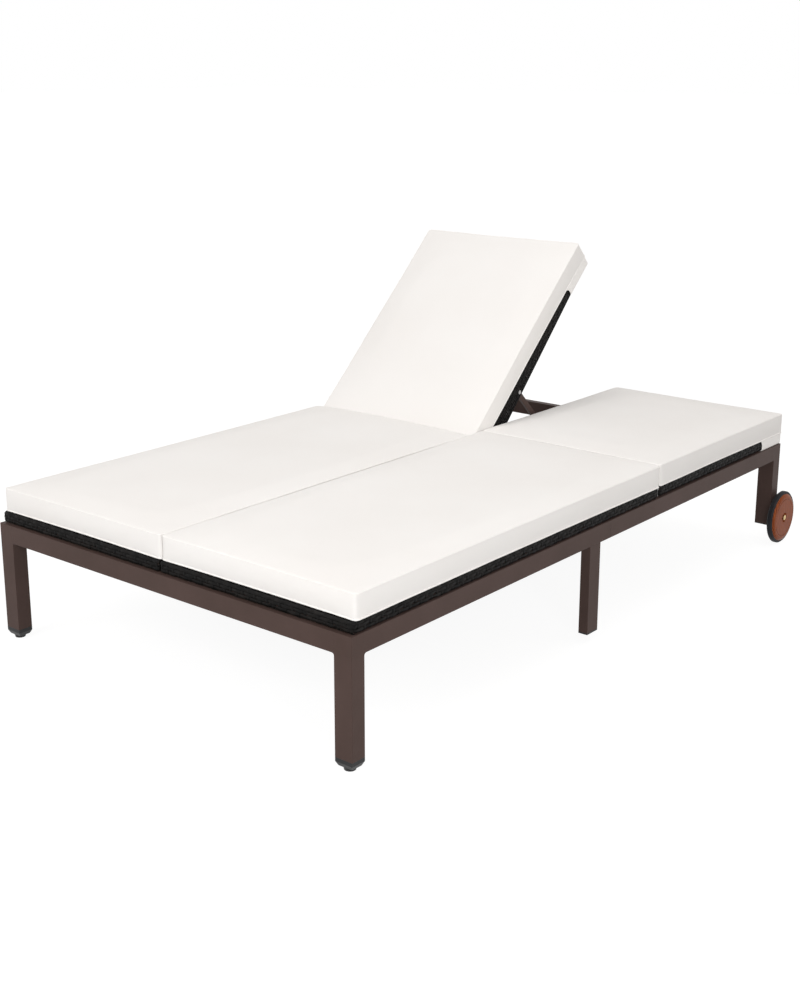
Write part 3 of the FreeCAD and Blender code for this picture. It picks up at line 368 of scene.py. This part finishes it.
def rim_tree():
    """Plain weave wrapped round the rim of a panel: flat stakes round the tube, fuller strands along it."""
    tree = Tree("woven_rim", across=0.58, along=1.2, corner=0.006, deck=0.012, face=0.025, lip=0.026,
                stakes=190, rows=7, stake=0.0072, strand=0.0086, stake_thickness=0.0011,
                strand_thickness=0.0016, stake_lift=0.0003, strand_lift=0.001, lean=1.3)
    reach = tree.math("ADD", tree.math("ADD", tree["deck"], tree["face"]), tree["lip"])
    pitch = tree.math("DIVIDE", reach, tree["rows"])
    loop = tree.add("GeometryNodeCurvePrimitiveQuadrilateral",
                    {"Width": tree["across"], "Height": tree["along"]})
    loop = tree.add("GeometryNodeFilletCurve", {"Curve": loop.outputs[0], "Count": 5, "Radius": tree["corner"]},
                    mode="POLY")
    inner = tree.math("MULTIPLY", tree["deck"], -1.0)
    low = tree.math("MULTIPLY", tree["face"], -1.0)
    section = tree.add("GeometryNodeCurvePrimitiveQuadrilateral", mode="POINTS")
    for index, point in enumerate((tree.xyz(inner, 0.0), tree.xyz(0.0, 0.0), tree.xyz(0.0, low),
                                   tree.xyz(tree.math("MULTIPLY", tree["lip"], -1.0), low))):
        tree.group.links.new(point, section.inputs[f"Point {index + 1}"])
    section = tree.add("GeometryNodeFilletCurve", {"Curve": section.outputs[0], "Count": 4, "Radius": 0.0018},
                       mode="POLY")

    def wrapped(curves, x, y, height, width, thickness, runs_along):
        around = tree.add("GeometryNodeSampleCurve", {"Curves": loop.outputs[0]}, mode="FACTOR",
                          use_all_curves=True)
        tree.group.links.new(tree.math("DIVIDE", x, tree["stakes"]), around.inputs["Factor"])
        along = tree.add("GeometryNodeSampleCurve", {"Curves": section.outputs[0]}, mode="LENGTH",
                         use_all_curves=True)
        tree.group.links.new(y, along.inputs["Length"])
        outward = tree.vector("NORMALIZE", tree.vector("CROSS_PRODUCT", around.outputs["Tangent"], (0, 0, 1)))
        place = tree.parts_of(along.outputs["Position"])
        slope = tree.parts_of(along.outputs["Tangent"])
        normal = tree.vector("ADD", tree.vector("SCALE", outward, tree.math("MULTIPLY", slope[1], -1.0)),
                             tree.xyz(0.0, 0.0, slope[0]))
        position = tree.vector("ADD", around.outputs["Position"], tree.vector("SCALE", outward, place[0]))
        position = tree.vector("ADD", position, tree.xyz(0.0, 0.0, place[1]))
        position = tree.vector("ADD", position, tree.vector("SCALE", normal, height))
        if runs_along:
            down = tree.vector("ADD", tree.vector("SCALE", outward, slope[0]), tree.xyz(0.0, 0.0, slope[1]))
            drift = tree.xyz(tree.math("MULTIPLY", x, 0.8), tree.math("MULTIPLY", y, 700.0), 0.0)
            normal = leaned(tree, normal, down, drift, tree["lean"])
        return tree.strips(curves, position, normal, width, thickness)

    here = tree.parts_of(tree.add("GeometryNodeInputPosition").outputs[0])
    row_at = tree.math("DIVIDE", here[1], pitch)
    stake_samples = tree.math("ADD", tree.math("MULTIPLY", tree["rows"], 3.0), 1.0)
    stakes = tree.lines((0, 0, 0), tree.xyz(0.0, reach, 0.0), stake_samples, tree["stakes"],
                        (0.5, 0, 0), (1, 0, 0))
    stake_height = wave(tree, row_at, tree.math("FLOOR", here[0]), tree["stake_lift"], 1.0)
    stakes = wrapped(stakes, here[0], here[1], stake_height, tree["stake"], tree["stake_thickness"], False)
    row_samples = tree.math("ADD", tree.math("MULTIPLY", tree["stakes"], 4.0), 1.0)
    rows = tree.lines((0, 0, 0), tree.xyz(tree["stakes"], 0.0, 0.0), row_samples, tree["rows"],
                      tree.xyz(0.0, tree.math("MULTIPLY", pitch, 0.5), 0.0), tree.xyz(0.0, pitch, 0.0))
    row_height = wave(tree, here[0], tree.math("FLOOR", row_at), tree["strand_lift"], -1.0)
    rows = wrapped(rows, here[0], here[1], row_height, tree["strand"], tree["strand_thickness"], True)
    tree.close(RESIN, stakes, rows)
    return tree


def deck_tree():
    """Flat plain weave: fuller strands across, stakes along."""
    tree = Tree("woven_deck", across=0.57, along=1.2, columns=46, rows=97, stake=0.0105, strand=0.0115,
                stake_thickness=0.001, strand_thickness=0.0013, lift=0.0007, lean=0.7)
    here = tree.parts_of(tree.add("GeometryNodeInputPosition").outputs[0])
    step_x = tree.math("DIVIDE", tree["across"], tree["columns"])
    step_y = tree.math("DIVIDE", tree["along"], tree["rows"])

    def laid(curves, height, width, thickness, sideways):
        position = tree.xyz(tree.math("MULTIPLY", here[0], step_x),
                            tree.math("MULTIPLY", here[1], step_y), height)
        drift = tree.xyz(tree.math("MULTIPLY", here[0], 0.7), tree.math("MULTIPLY", here[1], 0.7), 3.0)
        up = leaned(tree, (0, 0, 1), sideways, drift, tree["lean"])
        return tree.strips(curves, position, up, width, thickness, sides=5)

    across = tree.lines((0, 0, 0), tree.xyz(tree["columns"], 0.0, 0.0),
                        tree.math("ADD", tree.math("MULTIPLY", tree["columns"], 2.0), 1.0),
                        tree["rows"], (0, 0.5, 0), (0, 1, 0))
    across_height = wave(tree, here[0], tree.math("FLOOR", here[1]), tree["lift"], 1.0)
    across = laid(across, across_height, tree["strand"], tree["strand_thickness"], (0, 1, 0))
    along = tree.lines((0, 0, 0), tree.xyz(0.0, tree["rows"], 0.0),
                       tree.math("ADD", tree.math("MULTIPLY", tree["rows"], 2.0), 1.0),
                       tree["columns"], (0.5, 0, 0), (1, 0, 0))
    along_height = wave(tree, here[1], tree.math("FLOOR", here[0]), tree["lift"], -1.0)
    along = laid(along, along_height, tree["stake"], tree["stake_thickness"], (1, 0, 0))
    tree.close(RESIN, across, along)
    return tree


def on_side(piece, side, back):
    """Takes a piece made for the right side to its side, and a back's piece to its raised place."""
    sign, raise_angle = SIDES[side]
    mesh = piece.data
    if sign < 0:
        mesh.transform(Matrix.Scale(-1, 4, (1, 0, 0)))
        mesh.flip_normals()
    if back:
        mesh.transform(Matrix.Translation(HINGE) @ Matrix.Rotation(raise_angle, 4, "X"))
    mesh.update()


def weave_panel(rim, deck, side, name, node, body, x, y, z, back):
    """The weave of one panel, rim and deck. A skin is how far the strands lie inside the CAD solid's face."""
    stake_pitch, deck_pitch = 0.0185, 0.0125
    rim_skin, side_skin, deck_skin = 0.0018, 0.0012, 0.0026
    inner = 0.015
    width, length = x[1] - x[0], y[1] - y[0]
    centre = Vector(((x[0] + x[1]) / 2, (y[0] + y[1]) / 2, 0))
    stakes = 2 * round((width + length) / stake_pitch)
    rim_piece = rim.make(f"{name}_rim_{side}", across=width - 2 * side_skin,
                         along=length - 2 * side_skin, stakes=stakes, face=z[1] - z[0] - 2 * rim_skin)
    rim_piece.data.transform(Matrix.Translation(centre + Vector((0, 0, z[1] - rim_skin))))
    deck_width, deck_length = width - 2 * inner, length - 2 * inner
    deck_piece = deck.make(f"{name}_deck_{side}", across=deck_width, along=deck_length,
                           columns=round(deck_width / deck_pitch), rows=round(deck_length / deck_pitch))
    corner = centre - Vector((deck_width / 2, deck_length / 2, deck_skin - z[1]))
    deck_piece.data.transform(Matrix.Translation(corner))
    for piece in (rim_piece, deck_piece):
        woven_piece(piece, side, node, body, back)


def woven_piece(piece, side, node, body, back):
    on_side(piece, side, back)
    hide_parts(node)
    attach(piece, body)


def cut_along(piece, place, away):
    """Takes off what lies beyond a plane and closes the cut strands."""
    shape = bmesh.new()
    shape.from_mesh(piece.data)
    bmesh.ops.bisect_plane(shape, geom=shape.verts[:] + shape.edges[:] + shape.faces[:], dist=1e-6,
                           plane_co=place, plane_no=away, clear_outer=True)
    bmesh.ops.holes_fill(shape, edges=[edge for edge in shape.edges if edge.is_boundary])
    shape.to_mesh(piece.data)
    shape.free()


def weave_skirt(deck, side):
    """The woven inner edge of a back reaches lower at the hinge and narrows towards the pocket."""
    start, end = SKIRT_Y
    top, low = SKIRT_Z
    middle_x = sum(SKIRT_X) / 2
    stake_pitch, strand_pitch = 0.0165, 0.0085
    strands = round((top - low) / strand_pitch)
    piece = deck.make(f"back_weave_skirt_{side}", across=end - start, along=strands * strand_pitch,
                      columns=round((end - start) / stake_pitch), rows=strands, stake=0.008,
                      strand=0.0096, lean=0.2)
    upright = Matrix(((0, 0, -1, middle_x), (1, 0, 0, start), (0, -1, 0, top), (0, 0, 0, 1)))
    piece.data.transform(upright)
    tip = POCKET_LOW_Z + 0.0006
    cut_along(piece, Vector((0, end, tip)), Vector((0, tip - low, start - end)).normalized())
    border_radius, parts = 0.0015, 40
    border_points = [Vector((middle_x, start + (end - start) * step / parts, low + (tip - low) * step / parts))
                     for step in range(parts + 1)]
    border = tube_on_path(f"back_weave_border_{side}", border_points, border_radius, RESIN, closed=False)
    for part in (piece, border):
        part.data.shade_smooth()
        woven_piece(part, side, f"back_panel_weave_{side}", f"back_{side}", True)


def spaced(start, end, edge, step):
    """Places along a side: close together at both ends, then evenly spaced."""
    near = [share * edge for share in (0.0, 0.3, 0.7, 1.2, 2.2, 4)]
    low, high = start + near[-1], end - near[-1]
    count = max(1, round((high - low) / step))
    middle = [low + (high - low) * index / count for index in range(count + 1)]
    return [start + value for value in near[:-1]] + middle + [end - value for value in reversed(near[:-1])]


def block_mesh(name, xs, ys, zs):
    """Closed box surface with grid lines at the given places."""
    mesh = bmesh.new()
    corners = {}

    def corner(i, j, k):
        if (i, j, k) not in corners:
            corners[i, j, k] = mesh.verts.new((xs[i], ys[j], zs[k]))
        return corners[i, j, k]

    def face(*places):
        mesh.faces.new([corner(*place) for place in places])

    nx, ny, nz = len(xs) - 1, len(ys) - 1, len(zs) - 1
    for i in range(nx):
        for j in range(ny):
            face((i, j, nz), (i + 1, j, nz), (i + 1, j + 1, nz), (i, j + 1, nz))
            face((i, j, 0), (i, j + 1, 0), (i + 1, j + 1, 0), (i + 1, j, 0))
    for i in range(nx):
        for k in range(nz):
            face((i, 0, k), (i + 1, 0, k), (i + 1, 0, k + 1), (i, 0, k + 1))
            face((i, ny, k), (i, ny, k + 1), (i + 1, ny, k + 1), (i + 1, ny, k))
    for j in range(ny):
        for k in range(nz):
            face((0, j, k), (0, j, k + 1), (0, j + 1, k + 1), (0, j + 1, k))
            face((nx, j, k), (nx, j + 1, k), (nx, j + 1, k + 1), (nx, j, k + 1))
    made = bpy.data.meshes.new(name)
    mesh.to_mesh(made)
    mesh.free()
    piece = bpy.data.objects.new(name, made)
    bpy.context.scene.collection.objects.link(piece)
    return piece


def rounded(point, low, high, radius, upright):
    """A point of a box moved onto its rounded form: radius round the faces, upright at the four corners."""
    inner_low = Vector((low.x + upright, low.y + upright))
    inner_high = Vector((high.x - upright, high.y - upright))
    flat = Vector((min(max(point.x, inner_low.x), inner_high.x), min(max(point.y, inner_low.y), inner_high.y)))
    out = Vector((point.x, point.y)) - flat
    reach = max(abs(out.x), abs(out.y))
    if out.length > 1e-9:
        out = out.normalized() * reach
    height = min(max(point.z, low.z + radius), high.z - radius)
    rise = point.z - height
    inset = upright - radius
    over = max(0.0, reach - inset)
    if over > 0 and abs(rise) > 0:
        scale = max(over, abs(rise)) / math.hypot(over, rise)
        out = out * ((inset + over * scale) / reach)
        rise = rise * scale
    return Vector((flat.x + out.x, flat.y + out.y, height + rise))


def puffed(piece, pins, pressure, cap):
    """Foam pressing on its cover: a short cloth run with air pressure, its movement capped."""
    frames = 20
    rest = [vertex.co.copy() for vertex in piece.data.vertices]
    group = piece.vertex_groups.new(name="seams")
    group.add(pins, 1.0, "REPLACE")
    cloth = piece.modifiers.new("cover", "CLOTH")
    settings = cloth.settings
    settings.quality = 4
    settings.mass = 0.3
    settings.tension_stiffness = 14
    settings.compression_stiffness = 14
    settings.shear_stiffness = 6
    settings.bending_stiffness = 0.8
    settings.use_pressure = True
    settings.uniform_pressure_force = pressure
    settings.effector_weights.gravity = 0
    settings.vertex_group_mass = "seams"
    settings.pin_stiffness = 1.0
    cloth.collision_settings.use_collision = False
    cloth.point_cache.frame_start = 1
    cloth.point_cache.frame_end = frames
    scene = bpy.context.scene
    for step in range(1, frames + 1):
        scene.frame_set(step)
    graph = bpy.context.evaluated_depsgraph_get()
    moved = [vertex.co.copy() for vertex in piece.evaluated_get(graph).data.vertices]
    piece.modifiers.remove(cloth)
    piece.vertex_groups.remove(group)
    for vertex, before, after in zip(piece.data.vertices, rest, moved):
        shift = after - before
        vertex.co = before + (shift if shift.length <= cap else shift.normalized() * cap)
    scene.frame_set(1)


def box_cushion(name, low, high, seed):
    """A boxed cushion: crisp sewn edges, slightly domed faces, sides that draw in between the corners."""
    edge, grid = 0.004, 0.014
    xs = spaced(low.x, high.x, edge, grid)
    ys = spaced(low.y, high.y, edge, grid)
    near = [share * edge for share in (0, 0.3, 0.75, 1.5)]
    zs = [low.z + value for value in near]
    zs += [low.z + (high.z - low.z) * share for share in (0.2, 0.35, 0.5, 0.65, 0.8)]
    zs += [high.z - value for value in reversed(near)]
    piece = block_mesh(name, xs, ys, zs)
    pins = []
    for vertex in piece.data.vertices:
        point = vertex.co.copy()
        near_sides = min(point.x - low.x, high.x - point.x, point.y - low.y, high.y - point.y)
        near_faces = min(point.z - low.z, high.z - point.z)
        if near_faces < 0.7 * edge and near_sides < 1.3 * edge:
            pins.append(vertex.index)
        vertex.co = rounded(point, low, high, edge, CUSHION_CORNER)
    drawn_in(piece, low, high)
    puffed(piece, pins, pressure=3.0, cap=0.006)
    creased(piece, low, high, seed)
    lie_flat(piece, low)
    return piece


def lie_flat(piece, low):
    """The cushion lies flat on its weave and stands flat beside its neighbour."""
    for vertex in piece.data.vertices:
        vertex.co.x = max(vertex.co.x, low.x)
        vertex.co.z = max(vertex.co.z, low.z)


def drawn_in(piece, low, high):
    """The cover's pull on the foam: long sides bow in between the corners, the middle stands higher."""
    draw, crown = 0.0022, 0.0035
    for vertex in piece.data.vertices:
        point = vertex.co
        u = (point.x - low.x) / (high.x - low.x)
        v = (point.y - low.y) / (high.y - low.y)
        bow_u, bow_v = 4 * u * (1 - u), 4 * v * (1 - v)
        point.x += draw * bow_v * (1 - 2 * u) * abs(1 - 2 * u) ** 6
        point.y += draw * bow_u * (1 - 2 * v) * abs(1 - 2 * v) ** 6
        if point.z > (low.z + high.z) / 2 and 0 < u < 1 and 0 < v < 1:
            dome = min(1.0, 9 * u * (1 - u)) ** 0.6 * min(1.0, 9 * v * (1 - v)) ** 0.6
            point.z += crown * dome


def creased(piece, low, high, seed):
    """Slack of the cover: broad soft undulations, and short puckers that run in from the seams."""
    broad, ripple, face_pucker, side_pucker = 0.0011, 0.0005, 0.0009, 0.0008
    pucker_reach, fade_reach, level = 0.028, 0.012, 0.7

    def wander(x, y, z):
        return noise.noise(Vector((x, y, z)))

    normals = [vertex.normal.copy() for vertex in piece.data.vertices]
    for vertex, normal in zip(piece.data.vertices, normals):
        point = vertex.co
        from_side = min(point.x - low.x, high.x - point.x)
        from_end = min(point.y - low.y, high.y - point.y)
        slack = wander(point.x * 5, point.y * 4, seed) * broad
        slack += wander(point.x * 14, point.y * 11, seed + 7) * ripple
        if abs(normal.z) > level:
            slack *= min(1.0, max(0.0, min(from_side, from_end) / fade_reach))
            pucker = math.exp(-from_side / pucker_reach) * wander(seed, point.y * 46, 3) * face_pucker
            pucker += math.exp(-from_end / pucker_reach) * wander(point.x * 46, seed, 5) * face_pucker
        else:
            middle = 1 - abs(2 * (point.z - low.z) / (high.z - low.z) - 1)
            pucker = middle * wander(point.x * 30, point.y * 30, seed) * side_pucker
        vertex.co = point + normal * (slack + pucker)


def finished_cloth(piece):
    """One subdivision, smooth shading, no live modifier."""
    smooth = piece.modifiers.new("smooth", "SUBSURF")
    smooth.levels = smooth.render_levels = 1
    graph = bpy.context.evaluated_depsgraph_get()
    mesh = bpy.data.meshes.new_from_object(piece.evaluated_get(graph))
    piece.modifiers.clear()
    piece.data = mesh
    mesh.shade_smooth()
    return piece


def tube_on_path(name, points, radius, material, closed=True):
    """A round cord along a path of points."""
    curve = bpy.data.curves.new(name, "CURVE")
    curve.dimensions = "3D"
    spline = curve.splines.new("POLY")
    spline.points.add(len(points) - 1)
    for slot, point in zip(spline.points, points):
        slot.co = (*point, 1)
    spline.use_cyclic_u = closed
    curve.bevel_depth = radius
    curve.bevel_resolution = 1
    curve.use_fill_caps = not closed
    holder = bpy.data.objects.new(name + "_path", curve)
    bpy.context.scene.collection.objects.link(holder)
    graph = bpy.context.evaluated_depsgraph_get()
    mesh = bpy.data.meshes.new_from_object(holder.evaluated_get(graph))
    bpy.data.objects.remove(holder)
    mesh.shade_smooth()
    piece = bpy.data.objects.new(name, mesh)
    piece.data.materials.clear()
    piece.data.materials.append(material)
    bpy.context.scene.collection.objects.link(piece)
    return piece


def edge_path(low, high, z, radius):
    """A rounded rectangle at one height."""
    step = 0.012
    points = []
    corners = ((high.x, low.y, 1, -1), (high.x, high.y, 1, 1), (low.x, high.y, -1, 1), (low.x, low.y, -1, -1))
    for index, (x, y, out_x, out_y) in enumerate(corners):
        centre = Vector((x - out_x * radius, y - out_y * radius, z))
        start = math.atan2(out_y, out_x) - math.pi / 4
        for share in (0, 0.25, 0.5, 0.75, 1):
            angle = start + share * math.pi / 2
            points.append(centre + Vector((math.cos(angle), math.sin(angle), 0)) * radius)
        following = corners[(index + 1) % 4]
        target = Vector((following[0] - following[2] * radius, following[1] - following[3] * radius, z))
        angle = start + math.pi / 2
        target += Vector((math.cos(angle), math.sin(angle), 0)) * radius
        last = points[-1]
        count = max(1, round((target - last).length / step))
        points += [last.lerp(target, part / count) for part in range(1, count)]
    return points


def seam_on(piece, name, low, high, z, radius, from_end=0.0):
    """A sewn seam along an edge of a cushion: a thin raised ridge that follows the cover, inside the box."""
    stands_out = 0.3
    graph = bpy.context.evaluated_depsgraph_get()
    shape = piece.evaluated_get(graph)
    points = []
    for point in edge_path(low, high, z, CUSHION_CORNER):
        found, place, normal, _ = shape.closest_point_on_mesh(point)
        point = place + normal * radius * stands_out if found else point
        points.append(Vector((max(point.x, low.x + radius), max(point.y, low.y + from_end),
                              max(point.z, low.z + radius))))
    # The seam takes the lighter copy of the canvas: a painted highlight along the cushion's edges
    return tube_on_path(name, points, radius, PAINTED_LIGHT_CANVAS)


def sewn_seams(piece, name, low, high, lower_from_end=0.0):
    """The seams along the upper and the lower edge of a cushion, as one piece."""
    upper_drop, upper_radius = 0.0012, 0.0009
    lower_rise, lower_radius = 0.002, 0.0019
    upper = seam_on(piece, "upper_seam", low, high, high.z - upper_drop, upper_radius)
    lower = seam_on(piece, "lower_seam", low, high, low.z + lower_rise, lower_radius, lower_from_end)
    with bpy.context.temp_override(active_object=upper, selected_editable_objects=[upper, lower]):
        bpy.ops.object.join()
    upper.name = name
    return upper


def seat_cushion(side):
    low = Vector((CUSHION_X[0], CUSHION_FOOT_Y, SEAT_DECK_Z + CUSHION_PLAY))
    high = Vector((CUSHION_X[1], HINGE.y - CUSHION_PLAY, SEAT_DECK_Z + CUSHION_THICKNESS))
    piece = box_cushion(f"seat_pad_{side}", low, high, SEAT_SEED[side])
    level_with_back(piece, low, high)
    seam = sewn_seams(piece, f"seat_pad_seam_{side}", low, high)
    finished_cloth(piece)
    piece.data.materials.append(CANVAS)
    for part in (piece, seam):
        on_side(part, side, False)
    return piece, seam


def level_with_back(piece, low, high):
    """The foam stands a little prouder at the hinge, level with the back cushion."""
    lift, reach = HINGE.z + BACK_PANEL_Z[1] - SEAT_DECK_Z, 0.09
    for vertex in piece.data.vertices:
        share = min(1.0, max(0.0, (vertex.co.y - high.y + reach) / reach))
        height = (vertex.co.z - low.z) / (high.z - low.z)
        vertex.co.z += lift * share * share * (3 - 2 * share) * height
    piece.data.update()


def press_end(piece):
    """The raised back presses the seat cushion's end away, down the slope that the back has at rest."""
    along = Vector((0, math.cos(BACK_RAISE), math.sin(BACK_RAISE)))
    limit, soft = 0.0004, 0.010
    for vertex in piece.data.vertices:
        distance = (vertex.co - HINGE).dot(along) - limit
        if distance > -soft:
            pushed = distance + soft
            back = pushed - soft * (1 - math.exp(-pushed / soft))
            vertex.co -= along * back
    piece.data.update()


def dress_seats():
    for side in SIDES:
        piece, seam = seat_cushion(side)
        if side == "left":
            press_end(piece)
            press_end(seam)
        for part in (piece, seam):
            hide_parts(f"seat_cushion_{side}")
            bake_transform(part)


def pocket(name):
    """The sewn pocket round the head end of the woven panel, open towards the hinge."""
    edge, near, upright, play, grid = 0.004, 0.0012, 0.006, 0.0004, 0.018
    hem_round, hem_low, sag, wall_thickness = 0.009, 0.004, 0.0005, 0.0016
    x = (CUSHION_X[0] + play, CUSHION_X[1] - play)
    y = (POCKET_Y[0], POCKET_Y[1] - edge)
    z = (POCKET_LOW_Z, BACK_PANEL_Z[1] + edge)
    xs = spaced(x[0], x[1], edge, grid)
    ys = [y[0] + (y[1] - y[0]) * index / 12 for index in range(12)] + [y[1] - edge, y[1] - near, y[1]]
    zs = [z[0], z[0] + near, z[0] + edge, z[0] + 2 * edge, (z[0] + z[1]) / 2]
    zs += [z[1] - 3 * edge, z[1] - 2 * edge, z[1] - edge, z[1]]
    piece = block_mesh(name, xs, ys, zs)
    low, high = Vector((x[0], y[0] - 0.02, z[0])), Vector((x[1], y[1], z[1] + 0.02))
    for vertex in piece.data.vertices:
        vertex.co = rounded(vertex.co, low, high, edge, upright)
    shell = bmesh.new()
    shell.from_mesh(piece.data)
    gone = [face for face in shell.faces if face.calc_center_median().y < y[0] + 1e-5]
    bmesh.ops.delete(shell, geom=gone, context="FACES")
    for vertex in shell.verts:
        depth = (vertex.co.y - y[0]) / (y[1] - y[0])
        off_middle = abs(2 * (vertex.co.z + hem_low - z[0]) / (z[1] - z[0]) - 1)
        vertex.co.y -= hem_round * min(1.0, off_middle) ** 3 * (1 - depth)
        vertex.co.z += noise.noise(Vector((vertex.co.x * 13, 4.0, vertex.co.z * 30))) * sag * (1 - depth)
        vertex.co.x = max(vertex.co.x, CUSHION_X[0])
    shell.to_mesh(piece.data)
    shell.free()
    wall = piece.modifiers.new("wall", "SOLIDIFY")
    wall.thickness = wall_thickness
    wall.offset = -1
    return piece


def clear_of_seat(piece):
    """Eases the corner at the hinge, so that it passes over the seat's weave when the back stands steepest."""
    steepest, seat_top = math.radians(58.28), 0.0078
    for vertex in piece.data.vertices:
        least_y = (seat_top - vertex.co.z * math.cos(steepest)) / math.sin(steepest)
        vertex.co.y = max(vertex.co.y, least_y)
    piece.data.update()


def back_cushion(side):
    low = Vector((CUSHION_X[0], CUSHION_PLAY, BACK_PANEL_Z[1] + CUSHION_PLAY))
    high = Vector((CUSHION_X[1], POCKET_Y[1], BACK_PANEL_Z[1] + CUSHION_PLAY + CUSHION_THICKNESS))
    piece = box_cushion(f"back_pad_{side}", low, high, BACK_SEED[side])
    clear_of_seat(piece)
    seam = sewn_seams(piece, f"back_pad_seam_{side}", low, high, lower_from_end=0.0045)
    finished_cloth(piece)
    piece.data.materials.append(CANVAS)
    sleeve = finished_cloth(pocket(f"back_pocket_{side}"))
    # The pocket takes the lighter copy of the canvas: painted light on the same cloth
    sleeve.data.materials.append(PAINTED_LIGHT_CANVAS)
    return piece, seam, sleeve


def dress_backs():
    for side in SIDES:
        pieces = back_cushion(side)
        for part in pieces:
            on_side(part, side, True)
            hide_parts(f"back_cushion_{side}")
        for part in pieces:
            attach(part, f"back_{side}")


def dress_panels():
    rim, deck = rim_tree(), deck_tree()
    strand_play = 0.001
    for side in SIDES:
        weave_panel(rim, deck, side, "seat_weave", f"seat_panel_weave_{side}", "base",
                    SEAT_PANEL_X, SEAT_PANEL_Y, (SEAT_PANEL_Z[0] + strand_play, SEAT_PANEL_Z[1]), False)
        weave_panel(rim, deck, side, "back_weave", f"back_panel_weave_{side}", f"back_{side}",
                    BACK_PANEL_X, BACK_PANEL_Y, BACK_PANEL_Z, True)
        weave_skirt(deck, side)


def aimed(holder, place, direction):
    """Puts a camera or lamp at its place, looking along a direction."""
    bpy.context.scene.collection.objects.link(holder)
    holder.location = place
    holder.rotation_mode = "QUATERNION"
    holder.rotation_quaternion = direction.to_track_quat("-Z", "Y")
    return holder


def camera():
    """The photograph's camera, as it was fitted: focal length and picture centre in pixels."""
    width, height, sensor = 800, 1000, 36
    focal, centre_x, centre_y = 1432.83, 393.33, 444.67
    azimuth, elevation = math.radians(39.61), math.radians(14.92)
    data = bpy.data.cameras.new("camera")
    data.sensor_width = sensor
    data.lens = sensor * focal / height
    data.shift_x = (width / 2 - centre_x) / height
    data.shift_y = (centre_y - height / 2) / height
    data.clip_start, data.clip_end = 0.05, 200
    back = Vector((math.sin(azimuth) * math.cos(elevation), -math.cos(azimuth) * math.cos(elevation),
                   math.sin(elevation)))
    bpy.context.scene.camera = aimed(bpy.data.objects.new("camera", data), (2.36632, -3.04029, 1.42468), -back)


def lamp(name, place, aim, size, power):
    data = bpy.data.lights.new(name, "AREA")
    data.shape = "RECTANGLE"
    data.size, data.size_y = size
    data.energy = power
    aimed(bpy.data.objects.new(name, data), place, Vector(aim) - Vector(place))


def seen_directly(tree):
    """1 for rays from the camera, from gloss or through glass, else 0."""
    path = new_node(tree, "ShaderNodeLightPath").outputs
    total = path["Is Camera Ray"]
    for name in ("Is Glossy Ray", "Is Transmission Ray"):
        total = new_node(tree, "ShaderNodeMath", {0: total, 1: path[name]}, operation="MAXIMUM").outputs[0]
    return total


def shown_as(tree, share, shader, direct, surface):
    """The surface is the shader, mixed with what direct rays see."""
    mix = new_node(tree, "ShaderNodeMixShader", {0: share, 1: shader.outputs[0], 2: direct.outputs[0]})
    tree.links.new(mix.outputs[0], surface)


def studio():
    """A white room that lights softly, a floor that keeps the shadow, and four lamps."""
    white = (1, 1, 1, 1)
    room_colour, room_light = (1, 0.965, 0.935, 1), 0.57
    floor_colour, floor_glow, floor_share, reach = (0.5, 0.5, 0.5, 1), 1.38, 0.66, 60
    scene = bpy.context.scene
    scene.view_settings.view_transform = "Standard"
    scene.world = bpy.data.worlds.new("room")
    scene.world.use_nodes = True
    tree = scene.world.node_tree
    light = tree.nodes["Background"]
    light.inputs["Color"].default_value = room_colour
    light.inputs["Strength"].default_value = room_light
    backdrop = new_node(tree, "ShaderNodeBackground", {"Color": white, "Strength": 1.0})
    shown_as(tree, seen_directly(tree), light, backdrop, tree.nodes["World Output"].inputs["Surface"])

    mesh = bpy.data.meshes.new("floor")
    mesh.from_pydata([(-reach, -reach, 0), (reach, -reach, 0), (reach, reach, 0), (-reach, reach, 0)], [],
                     [(0, 1, 2, 3)])
    floor = bpy.data.objects.new("floor", mesh)
    scene.collection.objects.link(floor)
    material = bpy.data.materials.new("pale_floor")
    material.use_nodes = True
    tree = material.node_tree
    shader = tree.nodes["Principled BSDF"]
    shader.inputs["Base Color"].default_value = floor_colour
    shader.inputs["Roughness"].default_value = 0.9
    glow = new_node(tree, "ShaderNodeEmission", {"Color": white, "Strength": floor_glow})
    share = new_node(tree, "ShaderNodeMath", {0: seen_directly(tree), 1: floor_share}, operation="MULTIPLY")
    shown_as(tree, share.outputs[0], shader, glow, tree.nodes["Material Output"].inputs["Surface"])
    mesh.materials.append(material)

    lamp("key", (-0.7, -3.9, 2.3), (0, -0.6, 0.3), (2.4, 1.8), 58)
    lamp("side", (2.9, -2.6, 1.5), (0.4, -0.7, 0.3), (1.4, 1.4), 47)
    lamp("top", (0.4, 0.5, 3.3), (0.3, 0.2, 0.3), (2.4, 2.4), 24)
    lamp("rear side", (3.4, 1.3, 0.9), (0.5, 0.0, 0.3), (1.8, 1.0), 7)


finish_cad_nodes()
dress_panels()
dress_seats()
dress_backs()
camera()
studio()
